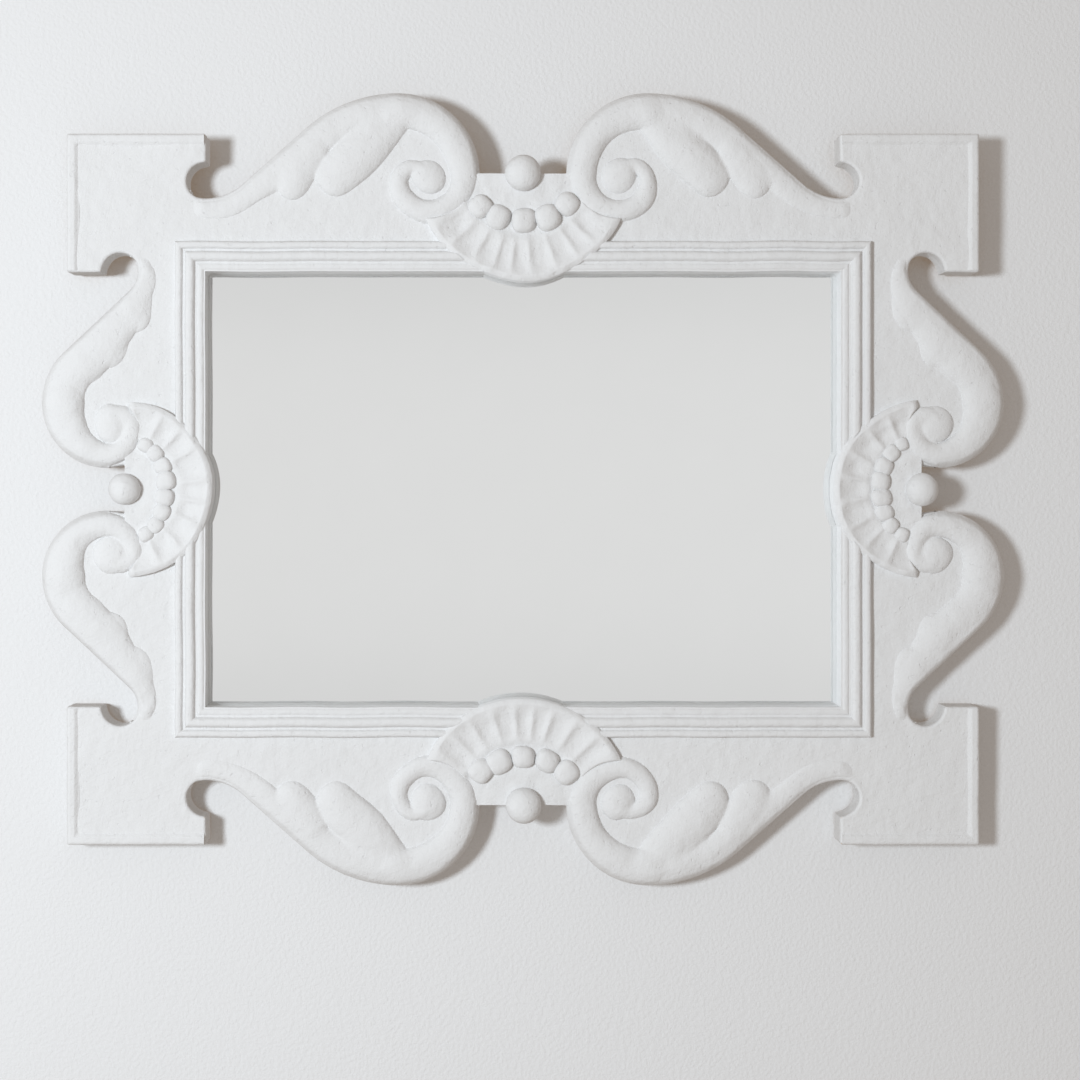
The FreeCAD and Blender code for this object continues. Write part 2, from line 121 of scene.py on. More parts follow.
@dataclass(frozen=True)
class Waves:
    """Smooth seeded unevenness, about -1 to 1: a sum of sine waves in random directions.

    Args:
        seed: picks the waves.
        pitch: distance from crest to crest.
        count: how many waves.
        pace: the fewest and the most crests in one pitch.
    """

    seed: int
    pitch: float
    count: int = 9
    pace: tuple[float, float] = (0.6, 1.5)

    def at(self, points: np.ndarray) -> np.ndarray:
        """The sum of sin(2 pi direction . point / pitch + phase), scaled to about one.

        Args:
            points: any array whose last axis holds coordinates.

        Returns:
            One value for each point.
        """
        rng = np.random.default_rng(self.seed)
        heading = rng.normal(size=(points.shape[-1], self.count))
        heading *= rng.uniform(*self.pace, self.count) / np.linalg.norm(heading, axis=0)
        phase = rng.uniform(0, 2 * math.pi, self.count)
        waves = np.sin(points @ heading * (2 * math.pi / self.pitch) + phase)
        return waves.sum(-1) / math.sqrt(self.count)


def arc(centre: tuple[float, float], radius: float, start: float, end: float, step: float = MM) -> np.ndarray:
    """Points centre + radius (cos t, sin t), about a step apart, with t from one angle to another."""
    turn = np.linspace(start, end, max(int(abs(end - start) * radius / step), FEWEST_POINTS))
    return np.stack((centre[0] + radius * np.cos(turn), centre[1] + radius * np.sin(turn)), 1)


def resample(path: np.ndarray, step: float) -> np.ndarray:
    """Evenly spaced points along a path in a plane, found by the length run so far.

    Args:
        path: the points.
        step: about how far apart the new ones are.

    Returns:
        The new points, with the same two ends.
    """
    along = np.concatenate(([0.0], np.cumsum(np.linalg.norm(np.diff(path, axis=0), axis=1))))
    wanted = np.linspace(0, along[-1], int(along[-1] / step) + 2)
    return np.stack([np.interp(wanted, along, column) for column in path.T], 1)


def bell(reach: int, spread: float) -> np.ndarray:
    """Weights exp(-(k / spread)^2 / 2) for k from -reach to reach, which add up to one."""
    near = np.exp(-0.5 * (np.arange(-reach, reach + 1) / spread) ** 2)
    return near / near.sum()


def soften(values: np.ndarray, spread: int) -> np.ndarray:
    """Values averaged along their first axis with a bell curve as weights, with both ends held.

    Args:
        values: evenly spaced values.
        spread: the bell curve's width in steps.

    Returns:
        As many softer values.
    """
    reach = 3 * spread
    held = np.concatenate((np.repeat(values[:1], reach, 0), values, np.repeat(values[-1:], reach, 0)))
    return np.lib.stride_tricks.sliding_window_view(held, 2 * reach + 1, axis=0) @ bell(reach, spread)


def soften_loop(values: np.ndarray, reach: int, spread: float) -> np.ndarray:
    """Values on a closed loop, averaged along their first axis with a bell curve as weights."""
    shifts = zip(range(-reach, reach + 1), bell(reach, spread))
    return sum(weight * np.roll(values, shift, 0) for shift, weight in shifts)


def smooth_step(share: np.ndarray) -> np.ndarray:
    """A rise from 0 to 1 with level ends: s^2 (3 - 2 s), with s held between 0 and 1."""
    held = np.clip(share, 0, 1)
    return held ** 2 * (3 - 2 * held)


def quarter_round(share: np.ndarray) -> np.ndarray:
    """A rise from 0 to 1 as a quarter circle: sqrt(1 - (1 - s)^2), with s held between 0 and 1."""
    return np.sqrt(1 - (1 - np.clip(share, 0, 1)) ** 2)


def tangents(path: np.ndarray) -> np.ndarray:
    """Unit vectors along a path: the difference of each point's neighbours, divided by its length."""
    ways = np.gradient(path, axis=0)
    return ways / np.linalg.norm(ways, axis=1, keepdims=True)


def left_of(ways: np.ndarray) -> np.ndarray:
    """Vectors in a plane, turned left by a right angle."""
    return np.stack((-ways[:, 1], ways[:, 0]), 1)


def outward(loop: np.ndarray, reach: int) -> np.ndarray:
    """Unit vectors that point out of a closed loop: the tangent over a few points, turned by a right angle.

    Args:
        loop: points of the loop in a plane.
        reach: how many points each way the tangent spans.

    Returns:
        One vector for each point.
    """
    tangent = np.roll(loop, -reach, 0) - np.roll(loop, reach, 0)
    after = np.roll(loop, -1, 0)
    area = np.sum(loop[:, 0] * after[:, 1] - after[:, 0] * loop[:, 1])
    normal = left_of(tangent) * -math.copysign(1.0, area)
    return normal / np.maximum(np.linalg.norm(normal, axis=1, keepdims=True), TINY)


def put(name: str, data: bpy.types.ID) -> bpy.types.Object:
    """Put a new object into the scene.

    Args:
        name: its name.
        data: its mesh, camera or light.

    Returns:
        The object, at the origin.
    """
    made = bpy.data.objects.new(name, data)
    bpy.context.scene.collection.objects.link(made)
    return made


class Solid:
    """A closed mesh put together from points and faces that all turn the same way."""

    def __init__(self) -> None:
        """Start with no points and no faces."""
        self.points: list[np.ndarray] = []
        self.faces: list[np.ndarray] = []
        self.total = 0

    def add(self, points: np.ndarray) -> np.ndarray:
        """Add points.

        Args:
            points: an array whose last axis holds x, y and z.

        Returns:
            The points' numbers, in the array's shape.
        """
        flat = points.reshape(-1, 3)
        self.points.append(flat)
        self.total += len(flat)
        return np.arange(self.total - len(flat), self.total).reshape(points.shape[:-1])

    def grid(self, index: np.ndarray) -> None:
        """Quads over a grid of point numbers."""
        corners = (index[:-1, :-1], index[1:, :-1], index[1:, 1:], index[:-1, 1:])
        self.faces.append(np.stack(corners, -1).reshape(-1, 4))

    def band(self, near: np.ndarray, far: np.ndarray) -> None:
        """Quads between two closed loops of point numbers."""
        self.faces.append(np.stack((np.roll(near, -1), near, far, np.roll(far, -1)), -1))

    def fan(self, line: np.ndarray, tip: int) -> None:
        """Triangles from an open line of point numbers to one point."""
        self.faces.append(np.stack((line[1:], line[:-1], np.full_like(line[1:], tip)), -1))

    def cone(self, loop: np.ndarray, tip: int) -> None:
        """Triangles from a closed loop of point numbers to one point."""
        self.fan(np.append(loop, loop[0]), tip)

    def volume(self, points: np.ndarray) -> float:
        """Signed volume: p . (q x r) / 6, added up over the triangles p, q, r that fan out in each face.

        Args:
            points: all the points.

        Returns:
            The volume, below 0 where the faces point inwards.
        """
        fans = [block[:, [0, k, k + 1]] for block in self.faces for k in range(1, block.shape[1] - 1)]
        first, second, third = points[np.concatenate(fans)].transpose(1, 0, 2)
        return float((first * np.cross(second, third)).sum() / 6)

    def build(self, name: str, sharp: float = 50.0) -> bpy.types.Object:
        """Make the object, with its faces turned outwards.

        Args:
            name: the piece's name.
            sharp: edges that bend by more degrees than this stay crisp.

        Returns:
            The new object, at the origin.
        """
        points = np.concatenate(self.points)
        order = -1 if self.volume(points) < 0 else 1
        faces = chain.from_iterable(block[:, ::order].tolist() for block in self.faces)
        mesh = bpy.data.meshes.new(name)
        mesh.from_pydata(points.tolist(), [], list(faces))
        mesh.polygons.foreach_set("use_smooth", np.ones(len(mesh.polygons), bool))
        mesh.set_sharp_from_angle(angle=math.radians(sharp))
        mesh.update()
        return put(name, mesh)


def relief(name: str, grid: np.ndarray, floor: float, tuck: float, sharp: float = 50.0,
           lip: float = 0.0) -> bpy.types.Object:
    """A piece of relief: a grid of surface points, a skirt from its border to a level floor, and the floor.

    The floor is two strips either side of a line under the grid's middle column, with a fan at both ends.

    Args:
        name: the piece's name.
        grid: surface points, rows by columns by three.
        floor: height of the floor above the wall.
        tuck: how far the floor's edge lies inside the border.
        sharp: edges that bend by more degrees than this stay crisp.
        lip: where it isn't 0, the skirt turns in under the border within this depth, then runs straight down.

    Returns:
        The new object.
    """
    solid = Solid()
    index = solid.add(grid)
    solid.grid(index)
    border = np.concatenate((index[:-1, 0], index[-1, :-1], index[:0:-1, -1], index[0, :0:-1]))
    rim = grid.reshape(-1, 3)[border]
    flat = rim[:, [0, 2]] - tuck * outward(rim[:, [0, 2]], reach=3)
    upper = border
    if lip > 0:
        upper = solid.add(np.stack((flat[:, 0], rim[:, 1] + lip, flat[:, 1]), 1))
        solid.band(border, upper)
    lower = solid.add(np.stack((flat[:, 0], np.full(len(flat), -floor), flat[:, 1]), 1))
    solid.band(upper, lower)
    rows, columns = index.shape
    spine = grid[1:-1, columns // 2].copy()
    spine[:, 1] = -floor
    middle = solid.add(spine)
    left, right = lower[1: rows - 1], lower[rows + columns - 1: 2 * rows + columns - 3][::-1]
    solid.grid(np.stack((right, middle, left), 1))
    solid.fan(np.concatenate((lower[2 * rows + columns - 4:], lower[:2])), middle[0])
    solid.fan(lower[rows - 2: rows + columns], middle[-1])
    return solid.build(name, sharp)


@dataclass(frozen=True)
class Swell:
    """Half widths and heights of a swelling in millimetres, each evenly spaced along it."""

    widths: tuple[float, ...]
    heights: tuple[float, ...]


@dataclass(frozen=True)
class Modelling:
    """How a scroll is modelled: its swellings, its leaves' knots and how far its lower border falls."""

    rim: Swell
    winding: Swell
    tail: Swell
    leaves: tuple
    fall: float = 0.0


@dataclass(frozen=True)
class Bay:
    """Sizes of one side's ornament, the same as the solids'."""

    corner: float
    sight: float
    block: float
    far_block: float
    flat: float
    volute_a: float
    volute_b: float
    volute_radius: float
    first_radius: float
    coil: tuple[float, ...]
    knob: tuple[float, float, float, float]
    hollow_b: float
    steepness: float
    shell_radius: float
    fan_spread: float
    fan_tip: float
    bead_count: int
    bead_pitch: float
    bead_radius: float
    bead_arc: float
    bead_taper: float
    pearl_share: float
    modelling: Modelling
    hollow_radius: float = 25 * MM
    crown_share: float = 0.7

    @property
    def coil_a(self) -> float:
        """Where along the side the coil's first circle has its centre."""
        return self.volute_a - self.volute_radius + self.first_radius

    def slope_line(self) -> np.ndarray:
        """The outline from the crown to the hollow: a crown arc, a straight run and a valley arc, tangent.

        Returns:
            Its (a, b) points.
        """
        along = self.corner - self.volute_a
        crest = self.volute_b + self.volute_radius
        foot = self.hollow_b - self.hollow_radius
        slope = self.steepness * math.atan2(crest - foot, along)
        radii = (along * math.tan(slope) - crest + foot) / (1 / math.cos(slope) - 1)
        crown, valley = self.crown_share * radii, (1 - self.crown_share) * radii
        upper = arc((self.volute_a, crest - crown), crown, QUARTER, QUARTER - slope)
        lower = arc((self.corner, foot + valley), valley, -QUARTER - slope, -QUARTER)
        return np.concatenate((upper, lower))

    def volute_line(self, lift: float = 0.0) -> np.ndarray:
        """The volute's outer quarter, from an angle past its left-most point up to the crown."""
        return arc((self.volute_a, self.volute_b), self.volute_radius, math.pi + lift, QUARTER)

    def hollow_line(self) -> np.ndarray:
        """The round hollow, from its lowest point to its highest."""
        return arc((self.corner, self.hollow_b), self.hollow_radius, -QUARTER, QUARTER)

    def hollow_foot(self) -> np.ndarray:
        """The lower half of the round hollow."""
        hollow = self.hollow_line()
        return hollow[: len(hollow) // 2]

    def half_outline(self) -> np.ndarray:
        """The outline from the middle of the flat edge to the block's outer corner.

        Returns:
            Its (a, b) points.
        """
        start = self.volute_line(math.asin((self.volute_b - self.flat) / self.volute_radius))
        ends = np.array([(self.corner, self.block), (self.far_block, self.block)])
        return np.concatenate(([(0.0, self.flat)], start, self.slope_line(), self.hollow_line(), ends))

    def spiral(self) -> np.ndarray:
        """The volute's outer edge: a quarter at its full radius, then quarters that shrink by given shares.

        Returns:
            Its (a, b) points.
        """
        radius = self.first_radius
        centre = np.array((self.coil_a, self.volute_b))
        runs = [self.volute_line()[::-1]]
        for quarter, share in enumerate(self.coil):
            start = math.pi + quarter * QUARTER
            ahead = start + QUARTER
            runs.append(arc(centre, radius, start, ahead))
            smaller = self.first_radius * share
            centre = centre + (radius - smaller) * np.array((math.cos(ahead), math.sin(ahead)))
            radius = smaller
        return np.concatenate(runs)


def read_bays() -> tuple[Bay, Bay]:
    """The bays of the long and the short sides, with their places read off the solids.

    Returns:
        The top and bottom bay, and the left and right bay.
    """
    half_width = -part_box("moulding_left_upper")[1].x
    half_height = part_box("moulding_top_left")[0].z
    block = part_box("corner_border_top_right")[1]
    flat_top = (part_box("pearl_top")[0].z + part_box("pearl_top")[1].z) / 2
    flat_side = (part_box("pearl_right")[0].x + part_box("pearl_right")[1].x) / 2
    long_side = Bay(
        corner=half_width, sight=half_height, block=block.z, far_block=block.x, flat=flat_top,
        volute_a=159 * MM, volute_b=flat_top, volute_radius=101 * MM, first_radius=62 * MM,
        coil=(0.84, 0.65, 0.5), knob=(121 * MM, 398 * MM, 23 * MM, 11 * MM),
        hollow_b=block.z - 58 * MM, steepness=1.45,
        shell_radius=136 * MM, fan_spread=math.radians(58), fan_tip=math.radians(63),
        bead_count=5, bead_pitch=math.radians(26), bead_radius=14 * MM, bead_arc=66 * MM, bead_taper=0.0,
        pearl_share=1.0,
        modelling=Modelling(
            rim=Swell((23, 23, 22, 20, 18, 16, 14, 12), (11.5, 11.5, 10.5, 9.5, 8.5, 7, 5, 3.5)),
            winding=Swell((23, 21, 19, 17.5, 16, 14.5, 13, 11, 7),
                          (12, 12.5, 12.5, 12, 11.5, 11, 10.5, 9.5, 7.5)),
            tail=Swell((12, 10, 7), (3.5, 3, 1.5)),
            leaves=(((238, 397, 25, 12), (203, 433, 29, 14.5), (160, 467, 16, 8)),
                    ((294, 390, 21, 9.5), (284, 402, 22, 10.5), (265, 428, 19, 9.5)))))
    short_side = Bay(
        corner=half_height, sight=half_width, block=block.x, far_block=block.z, flat=flat_side,
        volute_a=110 * MM, volute_b=flat_side + 24 * MM, volute_radius=80 * MM, first_radius=46 * MM,
        coil=(0.84, 0.6), knob=(83 * MM, 523 * MM, 24 * MM, 11 * MM),
        hollow_b=block.x - 66 * MM, steepness=1.3,
        shell_radius=112 * MM, fan_spread=math.radians(83), fan_tip=math.radians(83),
        bead_count=8, bead_pitch=math.radians(19), bead_radius=10 * MM, bead_arc=57 * MM, bead_taper=0.3,
        pearl_share=0.88,
        modelling=Modelling(
            rim=Swell((26, 26, 26, 26, 25, 21, 15, 9), (12, 12, 12, 11.5, 10.5, 9, 7, 4.5)),
            winding=Swell((26, 23, 19, 16, 14.5, 13, 11, 7), (12.5, 12.5, 12, 11.5, 11, 10.5, 9.5, 7.5)),
            tail=Swell((8, 7, 5), (5, 3.5, 1.5)),
            leaves=(((264, 500, 21, 6.5), (250, 496, 25, 7.5), (226, 499, 28, 8.5)),
                    ((206, 525, 28, 8.5), (182, 530, 27, 8.5)), ((178, 560, 34, 9), (166, 563, 35, 9.5))),
            fall=27 * MM))
    return long_side, short_side


@dataclass(frozen=True)
class Lobe:
    """A swelling: height (1 - (distance / half width)^2)^roundness, the greatest along its spine.

    Args:
        spine: rows of a, b, half width and height.
        roundness: smaller for a fuller section, one half for a round one.
        batch: how many rows are worked out together.
    """

    spine: np.ndarray
    roundness: float = 0.5
    batch: int = 60

    def over(self, points: np.ndarray) -> np.ndarray:
        """The swelling's height.

        Args:
            points: (a, b) points.

        Returns:
            One height for each point.
        """
        best = np.zeros(len(points))
        for part in np.array_split(self.spine, max(len(self.spine) // self.batch, 1)):
            gap = ((points[:, None, :] - part[None, :, :2]) ** 2).sum(-1) / part[:, 2] ** 2
            best = np.maximum(best, (part[:, 3] ** (1 / self.roundness) * (1 - gap)).max(1))
        return best ** self.roundness


def along_edge(line: np.ndarray, turn: int, swell: Swell, step: float = 1.5 * MM) -> np.ndarray:
    """A spine that runs beside a line, its own half width inside it, so that its flank ends on the line.

    Args:
        line: the line's points.
        turn: +1 to lie on the left of its direction, -1 on the right.
        swell: the half widths and heights along it.
        step: about how far apart the spine's points are.

    Returns:
        Rows of a, b, half width and height.
    """
    path = resample(line, step)
    share = np.linspace(0, 1, len(path))
    half, high = (np.interp(share, np.linspace(0, 1, len(sizes)), np.array(sizes) * MM)
                  for sizes in (swell.widths, swell.heights))
    inside = left_of(tangents(path)) * turn
    return np.column_stack((path + inside * half[:, None], half, high))


def leaf(*knots: tuple[float, float, float, float], count: int = 48) -> np.ndarray:
    """A spine through two or three knots in millimetres, each of a, b, half width and height.

    A spine of three knots p, q, r follows the curve (1-t)^2 p + 2 t (1-t) m + t^2 r, where m makes it pass q.

    Args:
        knots: two or three knots.
        count: how many rows to make.

    Returns:
        Rows of a, b, half width and height in metres.
    """
    rows = np.array(knots, float) * MM
    share = np.linspace(0, 1, count)[:, None]
    if len(rows) == 2:
        return rows[0] + (rows[1] - rows[0]) * share
    middle = 2 * rows[1] - (rows[0] + rows[2]) / 2
    return (1 - share) ** 2 * rows[0] + 2 * share * (1 - share) * middle + share ** 2 * rows[2]


@dataclass
class Scroll:
    """One scroll: a rim along the slope, leaf lobes inside it and a volute round a domed eye."""

    bay: Bay
    side: Side
    hand: int
    seed: int
    rows: int = 230
    columns: int = 132
    row_crowding: float = 1.5
    column_crowding: float = 0.9
    least_width: float = 2 * MM
    low_margin: float = 1.5 * MM
    tail_reach: float = 0.9
    tail_fade: float = 20 * MM
    tail_roundness: float = 0.62
    draw_from: float = 0.78
    draw_share: float = 0.6
    blend: float = 4.0
    bend: float = 1.3 * MM
    bend_pitch: float = 0.09
    uneven: float = 0.03
    uneven_pitch: float = 0.07
    tool_mark: float = 0.12 * MM
    tool_pitch: float = 0.03
    sink: float = 0.2 * MM
    edge_round: float = 6 * MM
    edge_drop: float = 4 * MM
    edge_step: float = 2 * MM
    edge_lap: float = 2.8 * MM
    cover: float = 0.4 * MM
    cover_inset: float = 2.4 * MM
    cover_round: float = 5 * MM
    floor: float = 14 * MM
    tuck: float = 4 * MM
    lip: float = 1.2 * MM

    @property
    def end_a(self) -> float:
        """Where along the side the tail ends."""
        return self.bay.corner + self.tail_reach * self.bay.hollow_radius

    def lobes(self) -> list[Lobe]:
        """The swellings: rim, winding, tail, eye and leaves.

        Returns:
            One lobe for each.
        """
        bay, form = self.bay, self.bay.modelling
        rim = along_edge(bay.slope_line(), -1, form.rim)
        winding = self.draw_in(along_edge(bay.spiral(), 1, form.winding))
        tail = along_edge(bay.hollow_foot(), -1, form.tail)
        eye = np.array([bay.knob])
        leaves = [Lobe(leaf(*knots)) for knots in form.leaves]
        return [Lobe(rim), Lobe(winding), Lobe(tail, self.tail_roundness), Lobe(eye)] + leaves

    def draw_in(self, winding: np.ndarray) -> np.ndarray:
        """The winding with its end bent towards the eye by draw_share s^2, with s from 0 to 1 at the end.

        Args:
            winding: rows of a, b, half width and height.

        Returns:
            The bent rows.
        """
        run = np.linspace(0, 1, len(winding))
        share = np.clip((run - self.draw_from) / (1 - self.draw_from), 0, 1)[:, None]
        bent = winding.copy()
        bent[:, :2] += self.draw_share * share ** 2 * (np.array(self.bay.knob[:2]) - winding[:, :2])
        return bent

    def lower_edge(self, a: np.ndarray) -> np.ndarray:
        """The grid's lower border: the volute's lowest quarter, then a line that falls to the hollow's side.

        Args:
            a: places along the side.

        Returns:
            The border's b at each place.
        """
        bay = self.bay
        drop = np.sqrt(np.clip(bay.first_radius ** 2 - (a - bay.coil_a) ** 2, 0, None))
        drop = np.where(a < bay.coil_a, drop, bay.first_radius)
        share = np.clip((a - bay.coil_a) / (bay.corner - bay.coil_a), 0, 1)
        return bay.volute_b - drop - self.low_margin - bay.modelling.fall * share

    def outer_edge(self) -> np.ndarray:
        """The outer edge's points, from the volute's left-most one to the hollow's side."""
        bay = self.bay
        return np.concatenate((bay.volute_line(), bay.slope_line()[1:], bay.hollow_foot()[1:]))

    def plan(self) -> np.ndarray:
        """A grid in the plane of the board: rows along the side, columns from the lower border to the edge.

        Returns:
            Rows by columns by (a, b).
        """
        start = self.bay.volute_a - self.bay.volute_radius
        a = start + (self.end_a - start) * np.linspace(0, 1, self.rows) ** self.row_crowding
        top = np.interp(a, *self.outer_edge().T)
        low = np.minimum(self.lower_edge(a), top - self.least_width)
        b = low[:, None] + (top - low)[:, None] * np.linspace(0, 1, self.columns) ** self.column_crowding
        return np.stack((np.broadcast_to(a[:, None], b.shape), b), -1)

    def to_edge(self, flat: np.ndarray) -> tuple[np.ndarray, np.ndarray]:
        """How far points lie from the outer edge, measured to the line through its nearest point.

        Args:
            flat: (a, b) points.

        Returns:
            The distances, and the ways out across the edge.
        """
        edge = resample(self.outer_edge(), self.edge_step)
        tangent = tangents(edge)
        parts = np.array_split(flat, self.columns)
        nearest = np.concatenate([((part[:, None] - edge) ** 2).sum(-1).argmin(1) for part in parts])
        offset = flat - edge[nearest]
        along = np.clip((offset * tangent[nearest]).sum(1), -self.edge_step / 2, self.edge_step / 2)
        gap = np.linalg.norm(offset - along[:, None] * tangent[nearest], axis=1)
        return gap, left_of(tangent)[nearest]

    def rise(self, flat: np.ndarray, gap: np.ndarray) -> np.ndarray:
        """Height of the lobes, joined by (sum of h^blend)^(1/blend) and made uneven by waves.

        Args:
            flat: (a, b) points.
            gap: their distances from the edge, near which the waves bend nothing.

        Returns:
            One height for each point.
        """
        bend = np.stack([Waves(self.seed + count, self.bend_pitch).at(flat) for count in range(2)], 1)
        moved = flat + self.bend * bend * np.clip(gap / (2 * self.edge_round), 0, 1)[:, None]
        heights = np.stack([lobe.over(moved) for lobe in self.lobes()])
        joined = (heights ** self.blend).sum(0) ** (1 / self.blend)
        swell = 1 + self.uneven * Waves(self.seed + 2, self.uneven_pitch).at(flat)
        return joined * swell + self.tool_mark * Waves(self.seed + 3, self.tool_pitch).at(flat)

    def least_height(self, gap: np.ndarray, lap: np.ndarray, fade: np.ndarray) -> np.ndarray:
        """A quarter round that stays just outside the skin's own rounded edge, and sinks away from the edge.

        Args:
            gap: distances from the edge.
            lap: how far the surface is moved out over it.
            fade: 1 along the scroll, falling to 0 at the tail's end.

        Returns:
            One height for each point.
        """
        past = np.clip(lap - gap + self.cover_inset, 0, self.cover_round)
        level = SKIN_FRONT + self.cover - self.cover_round + np.sqrt(self.cover_round ** 2 - past ** 2)
        return level - self.edge_drop * np.maximum(1 - fade, smooth_step(2 * gap / self.edge_round - 1))

    def grid(self) -> np.ndarray:
        """The surface: the lobes, eased down in a quarter round at the edge, where they lap over the skin.

        Returns:
            Rows by columns by (x, y, z).
        """
        plan = self.plan()
        flat = plan.reshape(-1, 2)
        gap, away = self.to_edge(flat)
        fade = smooth_step((self.end_a - flat[:, 0]) / self.tail_fade)
        rise = self.rise(flat, gap) * fade
        ease = quarter_round(gap / self.edge_round)
        height = BOARD_FRONT - self.sink - self.edge_drop + (rise + self.edge_drop) * ease
        lap = self.edge_lap * fade * np.clip(1 - gap / (2 * self.edge_round), 0, 1) ** 3
        height = np.maximum(height, self.least_height(gap, lap, fade))
        outer = (flat + lap[:, None] * away).reshape(plan.shape)
        return self.side.place(self.hand * outer[..., 0], height.reshape(plan.shape[:2]), outer[..., 1])

    def build(self) -> bpy.types.Object:
        """Make the scroll in place of its solid.

        Returns:
            The new piece.
        """
        node = self.side.node("scroll", self.hand)
        made = relief("plaster_" + node, self.grid(), self.floor, self.tuck, lip=self.lip)
        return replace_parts(made, node)


@dataclass(frozen=True)
class Ball:
    """A hand-rolled ball: |u|^power + |v|^power + |w|^power = radius^power, times 1 + uneven waves.

    Args:
        side: the side it lies on.
        middle: a, height and b of its centre.
        radius: its radius.
        seed: picks its shape.
        uneven: how far from smooth it is.
        power: 2 for a round ball, more for a pillow with rounded corners.
        turn_by: how far its own axes are turned in the plane of the front, in radians.
        depth: its height as a share of its width.
    """

    side: Side
    middle: tuple[float, float, float]
    radius: float
    seed: int
    uneven: float
    power: float = 2.0
    turn_by: float = 0.0
    depth: float = 1.0
    rings: int = 28
    columns: int = 48

    def spots(self, ways: np.ndarray) -> np.ndarray:
        """Points on the ball.

        Args:
            ways: unit vectors from its centre.

        Returns:
            One point for each.
        """
        cosine, sine = math.cos(self.turn_by), math.sin(self.turn_by)
        spin = np.array(((cosine, 0, -sine), (0, 1, 0), (sine, 0, cosine)))
        reach = (np.abs(ways @ spin) ** self.power).sum(-1) ** (-1 / self.power)
        waves = Waves(self.seed, pitch=2.6, count=5).at(ways)
        a, height, b = np.moveaxis((self.radius * reach * (1 + self.uneven * waves))[..., None] * ways, -1, 0)
        return self.side.place(self.middle[0] + a, self.middle[1] + self.depth * height, self.middle[2] + b)

    def add_to(self, solid: Solid) -> None:
        """Add the ball to a mesh, as rings between two poles.

        Args:
            solid: the mesh.
        """
        tilts = np.linspace(0, math.pi, self.rings + 2)[1:-1]
        tilt, turn = np.meshgrid(tilts, np.linspace(0, 2 * math.pi, self.columns + 1)[:-1], indexing="ij")
        ways = np.stack((np.sin(tilt) * np.cos(turn), np.cos(tilt), np.sin(tilt) * np.sin(turn)), -1)
        index = solid.add(self.spots(ways))
        tips = solid.add(self.spots(np.array([(0.0, 1.0, 0.0), (0.0, -1.0, 0.0)])))
        solid.grid(np.concatenate((index, index[:, :1]), 1))
        solid.cone(index[0], tips[0])
        solid.cone(index[-1][::-1], tips[1])


